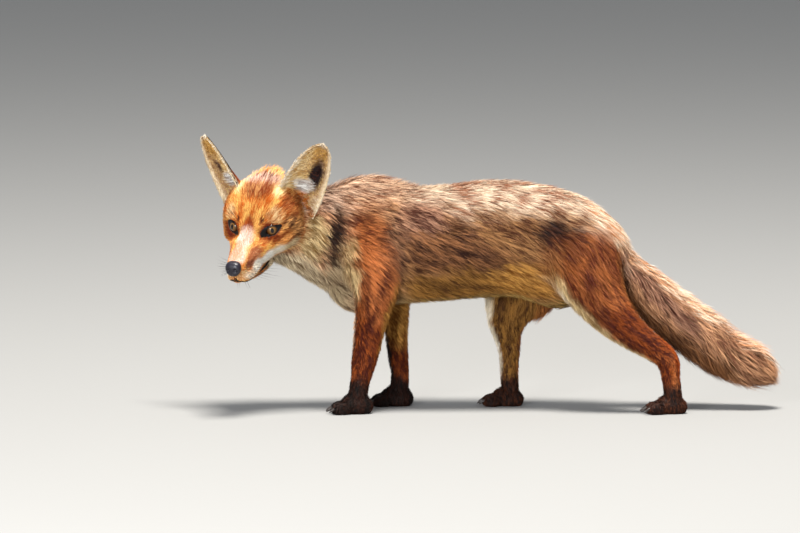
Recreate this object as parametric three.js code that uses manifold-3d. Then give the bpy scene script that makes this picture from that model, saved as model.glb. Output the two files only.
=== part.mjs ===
// A red fox, standing mid-stride with its head turned to its left, as a still life-size model.
// Millimetres, +Z up. The fox faces -X and its left side is at -Y. Every form is the outside of the coat.
// The body is built whole, from tubes of elliptical section laid along smooth lines and from egg-shaped
// muscles, and then parted into its named pieces by cuts a fraction of a millimetre wide.
import * as THREE from "three";
import { mergeVertices } from "three/addons/utils/BufferGeometryUtils.js";
import Module from "manifold-3d";

// ---- Driving dimensions ----
const GAP = 0.4; // width of each parting cut
const MIDDLE = 34; // from the fox's middle plane to the middle of its box, which its turned head widens
const HEAD = { at: [-341.5, -70, 266], turn: 67.5, drop: 21, roll: -3 }; // middle of the eye line; degrees to the left, down and over
const EYE = { left: [-2.9, 27, 0.6], right: [-0.7, -23.5, 1.5], facing: 33, radius: 10.6, socket: 11.1 };
const EAR = { half: 32, cup: 17, wall: 3.6 };
const EAR_LEFT = { root: [-49, 51, 25], tip: [-67, 91, 106], facing: [0.91, 0.41, 0.04] };
const EAR_RIGHT = { root: [-49, -51, 25], tip: [-67, -93, 104], facing: [0.78, -0.62, 0.04] }; // turned further out
const STANCE = { left: -43, right: 43 }; // how far each row of feet stands from the middle plane
const PAW_TOP = 38; // where each paw is parted from its leg
const LEG_ROOM = 11; // how far an upper leg's parting stands off the leg, inside the trunk

// Coat colours, as plain finishes for the solids.
const FINISH = {
  russet: { color: "#a8592c", roughness: 0.9 },
  sand: { color: "#b98d5c", roughness: 0.9 },
  cream: { color: "#d9c39c", roughness: 0.9 },
  dark: { color: "#3a241a", roughness: 0.85 },
  brush: { color: "#95694a", roughness: 0.95 },
  nose: { color: "#15131a", roughness: 0.35 },
  amber: { color: "#7a4d1c", roughness: 0.1 },
};
for (const [name, look] of Object.entries(FINISH)) {
  FINISH[name] = new THREE.MeshStandardMaterial({ ...look, metalness: 0, name });
}

// ---- Shapes ----
const SIDE = new THREE.Vector3(0, 1, 0);
const deg = THREE.MathUtils.degToRad;

// The surface through equal rings of points, closed at each end by a tip.
function closedGrid(rings, tips) {
  const sides = rings[0].length;
  const points = [...rings.flat(), ...tips];
  const index = [];
  const at = (r, i) => r * sides + (i % sides);
  for (let i = 0; i < sides; i++) {
    for (let r = 0; r + 1 < rings.length; r++) {
      index.push(at(r, i), at(r, i + 1), at(r + 1, i + 1), at(r, i), at(r + 1, i + 1), at(r + 1, i));
    }
    index.push(points.length - 2, at(0, i + 1), at(0, i));
    index.push(points.length - 1, at(rings.length - 1, i), at(rings.length - 1, i + 1));
  }
  return new THREE.BufferGeometry().setFromPoints(points).setIndex(index);
}

// A closed tube along a smooth line through stations [x, y, z, halfWidth, halfDepth, halfDepthBelow?].
// Each section is an ellipse square to the line, swollen by `full` at its upper corners; both ends are
// rounded off over `round` of their radius.
function tube(stations, { sides, round = [0.6, 0.6], full = 0 }) {
  const row = (pick) => new THREE.CatmullRomCurve3(stations.map(pick), false, "catmullrom", 0.5);
  const line = row((s) => new THREE.Vector3(s[0], s[1], s[2]));
  const size = row((s) => new THREE.Vector3(s[3], s[4], s[5] ?? s[4]));
  const spans = stations.length - 1;
  const rings = [];
  const ring = (u, shift, share) => {
    const along = line.getTangent(u);
    const wide = SIDE.clone().addScaledVector(along, -SIDE.dot(along)).normalize();
    const deep = along.clone().cross(wide);
    const s = size.getPoint(u);
    const centre = line.getPoint(u).addScaledVector(along, shift);
    rings.push(Array.from({ length: sides }, (_, i) => {
      const a = (2 * Math.PI * i) / sides;
      const [depth, swell] = Math.sin(a) > 0 ? [s.y, 1 + full * Math.sin(2 * a) ** 2] : [s.z, 1];
      return centre.clone()
        .addScaledVector(wide, share * swell * s.x * Math.cos(a))
        .addScaledVector(deep, share * swell * depth * Math.sin(a));
    }));
  };
  const reach = (end) => round[end] * Math.min(size.getPoint(end).x, size.getPoint(end).y);
  const capTurns = [75, 45, 20].map(deg);
  for (const a of capTurns) ring(0, -reach(0) * Math.sin(a), Math.cos(a));
  for (let i = 0; i <= spans; i++) ring(i / spans, 0, 1);
  for (const a of capTurns.toReversed()) ring(1, reach(1) * Math.sin(a), Math.cos(a));
  const tips = [0, 1].map((end) => line.getPoint(end).addScaledVector(line.getTangent(end), end ? reach(1) : -reach(0)));
  return closedGrid(rings, tips);
}

const turned = (turn) => new THREE.Matrix4().makeRotationFromEuler(new THREE.Euler(...turn.map(deg)));

// An egg: a sphere stretched to half-sizes [x, y, z], turned by degrees about the axes and set at a point.
function egg(at, half, turn, facets) {
  return new THREE.SphereGeometry(1, ...facets)
    .applyMatrix4(turned(turn).scale(new THREE.Vector3(...half)))
    .translate(...at);
}

// ---- Solids: joining and parting ----
const wasm = await Module();
wasm.setup();

function solid(geometry) {
  const bare = new THREE.BufferGeometry().setAttribute("position", geometry.getAttribute("position"));
  bare.setIndex(geometry.index);
  const merged = mergeVertices(bare, 1e-3);
  return new wasm.Manifold(new wasm.Mesh({
    numProp: 3,
    vertProperties: merged.attributes.position.array,
    triVerts: new Uint32Array(merged.index.array),
  }));
}
const joined = (geometries) => geometries.map(solid).reduce((a, b) => a.add(b));

function geometryOf(made) {
  const m = made.getMesh();
  const points = new Float32Array(m.numVert * 3);
  for (let i = 0; i < m.numVert; i++) {
    points.set(m.vertProperties.subarray(i * m.numProp, i * m.numProp + 3), i * 3);
  }
  const geometry = new THREE.BufferGeometry().setAttribute("position", new THREE.BufferAttribute(points, 3));
  return geometry.setIndex(new THREE.BufferAttribute(m.triVerts, 1));
}

const fox = new THREE.Group();
function node(name, material, made) {
  const mesh = new THREE.Mesh(geometryOf(made), FINISH[material]);
  mesh.name = name;
  fox.add(mesh);
}

// A region says what a cut takes off: a function of how far its faces are moved outwards.
const block = (at, half, turn = [0, 0, 0], frame = new THREE.Matrix4()) => (grow) => solid(
  new THREE.BoxGeometry(...half.map((h) => 2 * (h + grow)))
    .applyMatrix4(turned(turn))
    .translate(...at)
    .applyMatrix4(frame),
);

// Parts what lies in the region off the body, as a node, and leaves a gap all round the cut.
let body;
function part(name, material, region) {
  node(name, material, body.intersect(region(-GAP / 2)));
  body = body.subtract(region(GAP / 2));
}

// ---- Head, in its own frame: x forward, y to the fox's left, z up, from the middle of the eye line ----
const headFrame = (() => {
  const turn = deg(180 + HEAD.turn); // the fox faces -X, and turns towards -Y
  const yaw = new THREE.Matrix4().makeRotationZ(turn);
  const pitch = new THREE.Matrix4().makeRotationY(deg(HEAD.drop));
  const roll = new THREE.Matrix4().makeRotationX(deg(HEAD.roll));
  return new THREE.Matrix4().makeTranslation(...HEAD.at).multiply(yaw).multiply(pitch).multiply(roll);
})();

// From the nape to the nose: [forward, 0, widest level, half-width, height over it, depth under it].
const SKULL = [
  [-84, 0, -2, 43, 50, 44],
  [-68, 0, -4, 52, 61, 50],
  [-52, 0, -6, 58, 65, 50],
  [-35, 0, -10, 61, 62.5, 47],
  [-18, 0, -13, 54, 53, 44],
  [-4, 0, -16, 41, 41, 41],
  [10, 0, -19, 34, 32, 38],
  [25, 0, -22, 26.5, 25, 34],
  [42, 0, -24, 21, 19.5, 30],
  [58, 0, -26, 17.5, 16, 27],
  [70, 0, -27, 14.5, 13, 20],
  [77, 0, -27, 10.5, 10, 13],
];
const NOSE = { at: [77.6, 0, -25], half: [7.6, 11.2, 10.5], turn: [0, -8, 0] };
const pair = (make) => [make(1), make(-1)];

// One ear: a cupped leaf from its root to its tip, open forwards and outwards, closed by its two faces.
function ear(side) {
  const [root, tip, facing] = [side.root, side.tip, side.facing].map((p) => new THREE.Vector3(...p));
  const axis = tip.sub(root);
  facing.addScaledVector(axis, -facing.dot(axis) / axis.lengthSq()).normalize();
  const wide = axis.clone().cross(facing).normalize();
  const rows = 8;
  const columns = 6;
  const leaf = (u, v, outwards) => {
    const half = EAR.half * (1 - Math.max(0, u) ** 2) ** 0.52;
    const cup = EAR.cup * (1 - 0.8 * u);
    return root.clone().addScaledVector(axis, u)
      .addScaledVector(wide, half * v)
      .addScaledVector(facing, -cup * (1 - v * v) - outwards);
  };
  const across = Array.from({ length: columns + 1 }, (_, i) => -1 + (2 * i) / columns);
  const rings = Array.from({ length: rows }, (_, r) => {
    const u = -0.2 + 1.18 * (r / (rows - 1)) ** 0.9;
    const wall = EAR.wall * (1 - 0.4 * Math.max(0, u));
    return [...across.map((v) => leaf(u, v, -wall / 2)), ...across.toReversed().map((v) => leaf(u, v, wall / 2))];
  });
  const middle = (points) => points.reduce((a, p) => a.add(p), new THREE.Vector3()).divideScalar(points.length);
  return closedGrid(rings, [middle(rings[0]), leaf(1, 0, 0)]);
}

const head = joined([
  tube(SKULL, { sides: 12, round: [0.7, 0.9], full: 0.06 }),
  ...pair((s) => egg([-8, s * 20, 12], [24, 15, 11], [0, 22, s * 16], [6, 4])), // brow
  ...pair((s) => egg([42, s * 10.5, -40.5], [34, 12, 14.5], [0, 3, s * -5], [8, 5])), // upper lip
  ...pair((s) => egg([20, s * 10.5, -53.5], [42, 9.5, 9.5], [0, -4, s * -9], [8, 5])), // lower jaw
  egg([53, 0, -45], [24, 11, 9.5], [0, 2, 0], [8, 5]), // chin
].map((g) => g.applyMatrix4(headFrame)));
const placed = (g) => solid(g.applyMatrix4(headFrame));
const ears = [EAR_LEFT, EAR_RIGHT].map((side) => placed(ear(side)));
const noseEgg = (grow) => placed(egg(NOSE.at, NOSE.half.map((h) => h + grow), NOSE.turn, [10, 6]));
const eyeBall = (at, radius) => placed(egg(at, [radius, radius, radius], [0, 0, 0], [9, 6]));
const eyes = [EYE.left, EYE.right].map((at) => eyeBall(at, EYE.radius));
// Each socket is the ball's own room and an almond-shaped basin that opens it to the face.
const sockets = [EYE.left, EYE.right].map(([x, y, z]) => {
  const s = Math.sign(y);
  const basin = placed(egg([x + 7, y + s * 5.5, z + 1], [12, 10, 7], [0, 0, s * EYE.facing], [8, 5]));
  return eyeBall([x, y, z], EYE.socket).add(basin);
});

// ---- Neck, trunk and tail: [x, y, z, half-width, height over the line, depth under it] ----
const NECK = [
  [-138, 0, 237, 50, 82],
  [-166, 0, 240, 51, 93],
  [-196, 0, 244, 50, 93],
  [-230, -1, 248, 48, 79],
  [-260, -4, 255, 46, 66],
  [-288, -9, 263, 45, 58],
  [-310, -20, 270, 43, 52],
  [-328, -36, 275, 38, 44],
];
const TRUNK = [
  [-196, 0, 232, 40, 78, 74],
  [-165, 0, 237, 53, 88, 88],
  [-120, 0, 236, 57, 85, 84],
  [-70, 0, 239, 58, 84, 84],
  [-20, 0, 243, 56, 86, 84],
  [30, 0, 244, 52, 84, 84],
  [75, 0, 244, 51, 78, 98],
  [115, 0, 239, 52, 67, 92],
  [146, 0, 229, 47, 51, 66],
  [168, 0, 219, 36, 34, 45],
];
const TAIL = [
  [146, 4, 224, 24, 26],
  [176, 6, 206, 30, 32],
  [206, 9, 180, 36, 37],
  [242, 12, 146, 39, 40],
  [286, 12, 111, 39, 43],
  [326, 11, 83, 37, 41],
  [364, 9, 65, 32, 34],
  [391, 8, 51, 22, 23],
];

// ---- Legs: [x, y, z, half-width, half-depth fore and aft] from the body down to the wrist or hock ----
const near = STANCE.left;
const far = STANCE.right;
const LEGS = {
  fore_left: {
    line: [
      [-168, -38, 226, 26, 42],
      [-168, -42, 190, 26, 37],
      [-172, -43, 156, 22, 29],
      [-177, near, 126, 18, 25],
      [-181, near, 98, 16.5, 22.5],
      [-186, near, 70, 15, 19.5],
      [-191, near, 44, 14.5, 15.5],
      [-195, near, 20, 15, 16],
    ],
    muscle: { at: [-168, -34, 222], half: [46, 25, 62], turn: [0, 12, 0] },
    paw: { at: [-201, near], long: 33, wide: 19, high: 25, turn: 4 },
    parting: { at: [-185, -50], half: [45, 46], top: 138 },
  },
  fore_right: {
    line: [
      [-158, 38, 226, 26, 42],
      [-152, 42, 190, 26, 36],
      [-146, 43, 156, 22, 28],
      [-141, far, 126, 17, 22],
      [-139, far, 98, 15.5, 18.5],
      [-137, far, 70, 14.5, 16.5],
      [-134, far, 44, 14, 14.5],
      [-136, far, 20, 15, 16],
    ],
    muscle: { at: [-158, 34, 222], half: [46, 25, 62], turn: [0, 6, 0] },
    paw: { at: [-144, far], long: 33, wide: 19, high: 25, turn: -4 },
    parting: { at: [-140, 50], half: [40, 46], top: 138 },
  },
  hind_left: {
    line: [
      [122, -30, 232, 26, 50],
      [132, -36, 196, 28, 50],
      [152, -40, 158, 25, 39],
      [182, near, 124, 20, 29],
      [217, near, 98, 16, 22],
      [243, near, 78, 14, 19],
      [249, near, 52, 13, 15.5],
      [253, near, 22, 14, 14.5],
    ],
    muscle: { at: [126, -32, 214], half: [50, 27, 60], turn: [0, -16, 0] },
    paw: { at: [244, near], long: 33, wide: 17.5, high: 23, turn: 5 },
    parting: { at: [205, -52], half: [90, 40], top: 144 },
  },
  hind_right: {
    line: [
      [100, 30, 232, 26, 50],
      [64, 36, 196, 28, 54],
      [32, 40, 160, 25, 49],
      [19, far, 128, 20, 33],
      [19, far, 102, 15, 23],
      [22, far, 78, 14, 17.5],
      [22, far, 48, 13, 15.5],
      [24, far, 22, 14, 14.5],
    ],
    muscle: { at: [84, 32, 214], half: [54, 27, 56], turn: [0, 24, 0] },
    paw: { at: [14, far], long: 33, wide: 17.5, high: 23, turn: -5 },
    parting: { at: [22, 52], half: [62, 40], top: 140 },
  },
};
const wider = (line, grow) => line.map(([x, y, z, w, d]) => [x, y, z, w + grow, d + grow]);
const limb = ({ line, muscle }, grow = 0) => joined([
  tube(wider(line, grow), { sides: 10, round: [0.8, 0.5] }),
  egg(muscle.at, muscle.half.map((h) => h + grow), muscle.turn, [9, 6]),
]);
const lowerLeg = ({ parting: { at, half, top } }) => block(
  [...at, (top + PAW_TOP) / 2],
  [...half, (top - PAW_TOP) / 2],
);
const upperLeg = ({ line }) => (grow) => solid(tube(wider(line.slice(0, 4), LEG_ROOM + grow), { sides: 8 }));

// A paw on the floor, pointing along -X: an instep and four toes, each with its claw.
const TOES = [-1.5, -0.5, 0.5, 1.5];
function paw({ at: [x, y], long, wide, high, turn }) {
  const parts = [
    egg([6, 0, high * 0.5], [long * 0.76, wide * 0.84, high * 0.74], [0, 8, 0], [8, 5]),
  ];
  for (const t of TOES) {
    const inner = 1 - Math.abs(t) / 2; // the two middle toes reach further
    const reach = long * (0.42 + 0.2 * inner);
    parts.push(egg([-reach, t * wide * 0.5, 8], [14, wide * 0.31, 10.5], [0, 0, t * -7], [6, 4]));
    const claw = new THREE.ConeGeometry(2.2, 12, 3).rotateZ(deg(90)).rotateY(deg(-20)).rotateZ(deg(t * -7));
    parts.push(claw.translate(-reach - 13, t * wide * 0.54, 8));
  }
  return joined(parts.map((g) => g.rotateZ(deg(turn)).translate(x, y, 0)));
}

// ---- The body whole, with its soles cut flat at the floor ----
// Where it is parted besides the legs: each block holds what is cut off, and its face is the cut.
const CUTS = {
  head: block([-400, -88, 270], [138, 170, 170], [0, 0, 35]),
  jaw: block([56, 0, -65], [34, 40, 30], [0, 7, 0], headFrame),
  neck: block([-330, -20, 280], [130, 120, 220], [0, -12, 0]),
  tail: block([330, 0, 80], [190, 100, 240], [0, 42, 0]),
  tailTip: block([420, 10, 30], [80, 100, 130], [0, 35, 0]),
  floor: block([0, 0, -50], [600, 200, 50]),
};
const legs = Object.values(LEGS);
const torso = joined([
  tube(TRUNK, { sides: 14, round: [0.6, 0.7] }),
  tube(TAIL, { sides: 12, round: [0.6, 1.2] }),
  egg([-203, 0, 170], [33, 36, 27], [0, 20, 0], [8, 5]), // brisket
]);
const brush = legs.reduce((made, leg) => made.subtract(limb(leg, GAP)), torso.intersect(CUTS.tail(-GAP / 2)));
body = torso.subtract(CUTS.tail(GAP / 2)).add(head).add(solid(tube(NECK, { sides: 14, round: [0.8, 0.6] })));
for (const leg of legs) body = body.add(limb(leg)).add(paw(leg.paw));
body = body.subtract(CUTS.floor(0)).subtract(noseEgg(GAP));
for (const socket of sockets) body = body.subtract(socket);

// ---- Parting ----
node("nose", "nose", noseEgg(0));
for (const [i, side] of ["left", "right"].entries()) {
  node(`eye_${side}`, "amber", eyes[i]);
  node(`ear_${side}`, "sand", ears[i].subtract(body));
}
for (const [name, leg] of Object.entries(LEGS)) {
  const [x, y] = leg.paw.at;
  part(`${name}_paw`, "dark", block([x, y, 0], [60, 40, PAW_TOP]));
  part(`${name}_lower`, "russet", lowerLeg(leg));
  part(`${name}_upper`, "russet", upperLeg(leg));
}
part("jaw", "cream", CUTS.jaw);
part("head", "russet", CUTS.head);
part("neck", "russet", CUTS.neck);
node("trunk", "sand", body);
node("tail_tip", "brush", brush.intersect(CUTS.tailTip(-GAP / 2)));
node("tail", "brush", brush.subtract(CUTS.tailTip(GAP / 2)));

fox.position.y = MIDDLE;
export default fox;
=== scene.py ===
"""A red fox in thin summer coat, as a still, life-size museum model: skin, eyes, nose, claws and fur."""
import bpy
import numpy as np
from mathutils import Matrix, Vector
from mathutils.bvhtree import BVHTree


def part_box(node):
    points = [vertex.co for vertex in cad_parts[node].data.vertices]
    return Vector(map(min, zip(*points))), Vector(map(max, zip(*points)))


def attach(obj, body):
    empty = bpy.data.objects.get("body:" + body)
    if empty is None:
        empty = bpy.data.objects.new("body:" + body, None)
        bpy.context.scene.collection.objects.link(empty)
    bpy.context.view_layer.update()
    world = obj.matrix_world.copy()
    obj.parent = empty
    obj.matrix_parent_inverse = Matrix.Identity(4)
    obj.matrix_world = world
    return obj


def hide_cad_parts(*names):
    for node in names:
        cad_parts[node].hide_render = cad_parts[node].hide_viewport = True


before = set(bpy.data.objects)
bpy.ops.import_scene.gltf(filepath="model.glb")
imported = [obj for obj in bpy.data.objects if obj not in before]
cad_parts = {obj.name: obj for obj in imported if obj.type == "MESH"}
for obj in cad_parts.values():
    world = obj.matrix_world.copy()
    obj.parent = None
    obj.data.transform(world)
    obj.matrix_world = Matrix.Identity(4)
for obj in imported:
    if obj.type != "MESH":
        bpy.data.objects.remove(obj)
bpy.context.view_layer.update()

# ---- Studio ----
# A mid-grey floor under a soft light from above, with a weaker one low in front.
# The camera stands eight metres off at the fox's left side and looks a little down.
paw_boxes = (*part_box("fore_left_paw"), *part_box("fore_right_paw"))
MIDDLE = sum(corner.y for corner in paw_boxes) / 4  # the fox's own middle plane
CAMERA_TARGET = Vector((-0.1342, MIDDLE, 0.2049))
CAMERA_DISTANCE = 8.0
CAMERA_DROP = np.radians(6)
VIEW_WIDTH = 1.136  # metres across the picture at the target

camera = bpy.data.objects.new("camera", bpy.data.cameras.new("camera"))
camera.data.lens = camera.data.sensor_width * CAMERA_DISTANCE / VIEW_WIDTH
camera.data.clip_end = 200
camera_back = Vector((0, -np.cos(CAMERA_DROP), np.sin(CAMERA_DROP)))
camera.location = CAMERA_TARGET + camera_back * CAMERA_DISTANCE
camera.rotation_euler = camera_back.to_track_quat("Z", "Y").to_euler()
bpy.context.scene.collection.objects.link(camera)
bpy.context.scene.camera = camera


def new_material(name, roughness, colour=(0.5, 0.5, 0.5)):
    """A material and its shader, with one colour and one roughness to start from."""
    material = bpy.data.materials.new(name)
    material.use_nodes = True
    shader = material.node_tree.nodes["Principled BSDF"]
    shader.inputs["Base Color"].default_value = (*colour, 1)
    shader.inputs["Roughness"].default_value = roughness
    return material, shader


def add_node(material, kind, inputs=(), **settings):
    """A shader node of one kind in a material, with its settings and then its inputs."""
    node = material.node_tree.nodes.new("ShaderNode" + kind)
    for setting, value in settings.items():
        setattr(node, setting, value)
    for name, value in dict(inputs).items():
        node.inputs[name].default_value = value
    return node


def connect(material, *pairs):
    """Leads outputs of a material's nodes into the inputs they feed."""
    for output, fed in pairs:
        material.node_tree.links.new(output, fed)


def add_bump(material, shader, texture, output, strength, distance):
    """A texture over the piece's own coordinates that raises its surface slightly."""
    place = add_node(material, "TexCoord")
    bump = add_node(material, "Bump", {"Strength": strength, "Distance": distance})
    connect(
        material,
        (place.outputs["Object"], texture.inputs["Vector"]),
        (texture.outputs[output], bump.inputs["Height"]),
        (bump.outputs["Normal"], shader.inputs["Normal"]),
    )


FLOOR_REACH = 40
floor_mesh = bpy.data.meshes.new("floor")
floor_mesh.from_pydata([(x, y, 0) for x, y in ((-1, -1), (1, -1), (1, 1), (-1, 1))], [], [(0, 1, 2, 3)])
floor_mesh.transform(Matrix.Scale(FLOOR_REACH, 4))
floor_mesh.materials.append(new_material("grey floor", 0.9, (0.27, 0.27, 0.265))[0])
floor = bpy.data.objects.new("floor", floor_mesh)
bpy.context.scene.collection.objects.link(floor)

world = bpy.data.worlds.new("studio")
world.use_nodes = True
world.node_tree.nodes["Background"].inputs["Color"].default_value = (0.93, 0.96, 1.0, 1)
world.node_tree.nodes["Background"].inputs["Strength"].default_value = 0.5
bpy.context.scene.world = world
bpy.context.scene.view_settings.view_transform = "Standard"


def soft_light(name, place, size, watts, colour):
    """A square area light at a place, turned to the fox's middle."""
    light = bpy.data.objects.new(name, bpy.data.lights.new(name, "AREA"))
    light.data.size = size
    light.data.energy = watts
    light.data.color = colour
    light.location = place
    light.rotation_euler = (Vector(place) - CAMERA_TARGET).to_track_quat("Z", "Y").to_euler()
    bpy.context.scene.collection.objects.link(light)


soft_light("key", (0.3, -1.2, 6.0), 1.6, 900, (1.0, 0.96, 0.9))
soft_light("fill", (-1.3, -3.3, 0.95), 1.4, 110, (0.97, 0.98, 1.0))

# ---- Skin: the body's forms ----
# The hide without its hair, over the muscles of a lean young fox in mid-stride: one closed surface
# from the muzzle to the end of the tail. It is smoothed from tubes along smooth lines and egg-shaped
# muscles, each smaller than the coat's own outline by the coat's depth. Millimetres, from the fox's middle.
TO_METRES = 0.001
# x, y, z, half-width, height over the line, depth under it, coat's depth, hair's length
TRUNK = [
    (-196, 0, 232, 40, 78, 74, 12, 28),
    (-165, 0, 237, 53, 88, 88, 11, 28),
    (-120, 0, 236, 57, 85, 84, 10, 27),
    (-70, 0, 239, 58, 84, 84, 9, 28),
    (-20, 0, 243, 56, 86, 84, 9, 30),
    (30, 0, 244, 52, 84, 84, 9, 32),
    (75, 0, 244, 51, 78, 98, 10, 33),
    (115, 0, 239, 52, 67, 92, 10, 32),
    (146, 0, 229, 47, 51, 66, 11, 30),
    (168, 0, 219, 36, 34, 45, 12, 34),
]
NECK = [
    (-138, 0, 237, 50, 82, 82, 11, 27),
    (-166, 0, 240, 51, 93, 93, 12, 28),
    (-196, 0, 244, 50, 93, 93, 12, 28),
    (-230, -1, 248, 48, 79, 79, 12, 28),
    (-260, -4, 255, 46, 66, 66, 11, 26),
    (-288, -9, 263, 45, 58, 58, 10, 23),
    (-310, -20, 270, 43, 52, 52, 9, 20),
    (-328, -36, 275, 38, 44, 44, 8, 18),
]
TAIL = [
    (146, 4, 224, 24, 26, 26, 10, 34),
    (176, 6, 206, 30, 32, 32, 14, 42),
    (206, 9, 180, 36, 37, 37, 19, 50),
    (242, 12, 146, 39, 40, 40, 22, 54),
    (286, 12, 111, 39, 43, 43, 24, 54),
    (326, 11, 83, 37, 41, 41, 25, 52),
    (364, 9, 65, 32, 34, 34, 22, 46),
    (385, 8, 54, 24, 25, 25, 17, 36),
]
FORE_LEFT = [
    (-168, -38, 226, 26, 42, 42, 9, 24),
    (-168, -42, 190, 26, 37, 37, 8, 20),
    (-172, -43, 156, 22, 29, 29, 6.5, 15),
    (-177, -43, 126, 18, 25, 25, 5, 11),
    (-181, -43, 98, 16.5, 22.5, 22.5, 4, 9),
    (-186, -43, 70, 15, 19.5, 19.5, 3, 8),
    (-191, -43, 44, 14.5, 15.5, 15.5, 2.2, 7),
    (-195, -43, 20, 15, 16, 16, 2, 6),
]
FORE_RIGHT = [
    (-158, 38, 226, 26, 42, 42, 9, 24),
    (-152, 42, 190, 26, 36, 36, 8, 20),
    (-146, 43, 156, 22, 28, 28, 6.5, 15),
    (-141, 43, 126, 17, 22, 22, 5, 11),
    (-139, 43, 98, 15.5, 18.5, 18.5, 4, 9),
    (-137, 43, 70, 14.5, 16.5, 16.5, 3, 8),
    (-134, 43, 44, 14, 14.5, 14.5, 2.2, 7),
    (-136, 43, 20, 15, 16, 16, 2, 6),
]
HIND_LEFT = [
    (122, -30, 232, 26, 50, 50, 9, 26),
    (132, -36, 196, 28, 50, 50, 9, 24),
    (152, -40, 158, 25, 39, 39, 7, 18),
    (182, -43, 124, 20, 29, 29, 5.5, 13),
    (217, -43, 98, 16, 22, 22, 4, 9),
    (243, -43, 78, 14, 19, 19, 3, 8),
    (249, -43, 52, 13, 15.5, 15.5, 2.2, 7),
    (253, -43, 22, 14, 14.5, 14.5, 2, 6),
]
HIND_RIGHT = [
    (100, 30, 232, 26, 50, 50, 9, 26),
    (64, 36, 196, 28, 54, 54, 9, 24),
    (32, 40, 160, 25, 49, 49, 8, 18),
    (19, 43, 128, 20, 33, 33, 6, 13),
    (19, 43, 102, 15, 23, 23, 4, 9),
    (22, 43, 78, 14, 17.5, 17.5, 3, 8),
    (22, 43, 48, 13, 15.5, 15.5, 2.2, 7),
    (24, 43, 22, 14, 14.5, 14.5, 2, 6),
]
# The head's own frame: x forward, y to its left, z up, from the middle of the line between its eyes.
SKULL = [
    (-84, 0, -2, 43, 50, 44, 9, 20),
    (-68, 0, -4, 52, 61, 50, 8, 18),
    (-52, 0, -6, 58, 65, 50, 6.5, 16),
    (-35, 0, -10, 61, 62.5, 47, 6, 15),
    (-18, 0, -13, 54, 53, 44, 4.5, 12),
    (-4, 0, -16, 41, 41, 41, 3, 9),
    (10, 0, -19, 34, 32, 38, 2.2, 7),
    (25, 0, -22, 26.5, 25, 34, 1.8, 6),
    (42, 0, -24, 21, 19.5, 30, 1.5, 5),
    (58, 0, -26, 17.5, 16, 27, 1.3, 4.5),
    (70, 0, -27, 14.5, 13, 20, 1.1, 4),
    (77, 0, -27, 10.5, 10, 13, 1, 3.5),
]
HEAD_AT, HEAD_TURN, HEAD_DROP, HEAD_ROLL = (-341.5, -70, 266), 67.5, 21, -3
COLUMNS = dict(half=3, over=4, under=5, coat=6, hair=7)


def turned(x, y, z):
    """The matrix that turns by degrees about z, then y, then x."""
    x, y, z = np.radians((x, y, z))
    about_x = np.array([[1, 0, 0], [0, np.cos(x), -np.sin(x)], [0, np.sin(x), np.cos(x)]])
    about_y = np.array([[np.cos(y), 0, np.sin(y)], [0, 1, 0], [-np.sin(y), 0, np.cos(y)]])
    about_z = np.array([[np.cos(z), -np.sin(z), 0], [np.sin(z), np.cos(z), 0], [0, 0, 1]])
    return about_x @ about_y @ about_z


HEAD_AXES = turned(0, 0, 180 + HEAD_TURN) @ turned(0, HEAD_DROP, 0) @ turned(HEAD_ROLL, 0, 0)


def head_to_body(points):
    """Points in the head's frame, put in the fox's."""
    return np.asarray(points) @ HEAD_AXES.T + HEAD_AT


def body_to_head(points):
    """Points in the fox's frame, put in the head's."""
    return (np.asarray(points) - HEAD_AT) @ HEAD_AXES


def unit(vectors):
    """Vectors made one long."""
    return vectors / np.maximum(np.linalg.norm(vectors, axis=-1, keepdims=True), 1e-9)


def smooth_rows(rows, count):
    """A table's rows joined by Catmull-Rom curves: count rows, evenly spaced from the first to the last."""
    rows = np.asarray(rows, float)
    padded = np.vstack([2 * rows[0] - rows[1], rows, 2 * rows[-1] - rows[-2]])
    place = np.linspace(0, len(rows) - 1, count)
    first = np.minimum(place.astype(int), len(rows) - 2)
    t = (place - first)[:, None]
    a, b, c, d = (padded[first + k] for k in range(4))
    return b + 0.5 * t * (c - a + t * (2 * a - 5 * b + 4 * c - d + t * (3 * (b - c) + d - a)))


def line_axes(centre):
    """Unit vectors along a line, across it (as near to +Y as they can be) and square to both."""
    along = unit(np.gradient(centre, axis=0))
    across = unit(np.array([0, 1, 0]) - along * along[:, 1:2])
    return along, across, np.cross(along, across)


def grid_faces(rows, columns, closed):
    """Four-cornered faces of a grid of points, row by row; a closed grid's last column meets its first."""
    number = np.arange(rows * columns).reshape(rows, columns)
    if closed:
        number = np.hstack([number, number[:, :1]])
    here, beside, below = number[:-1, :-1], number[:-1, 1:], number[1:, :-1]
    return np.stack([here, beside, number[1:, 1:], below], 2).reshape(-1, 4)


def closed_rings(rings, tips):
    """Rings of points (rows, columns, 3) closed by a tip at each end: their points and faces."""
    rows, columns, _ = rings.shape
    points = np.vstack([rings.reshape(-1, 3), tips])
    around = np.arange(columns)
    following = (around + 1) % columns
    last = (rows - 1) * columns
    start = np.stack([np.full(columns, rows * columns), following, around], 1)
    end = np.stack([np.full(columns, rows * columns + 1), last + around, last + following], 1)
    return points, grid_faces(rows, columns, True).tolist() + start.tolist() + end.tolist()


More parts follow.
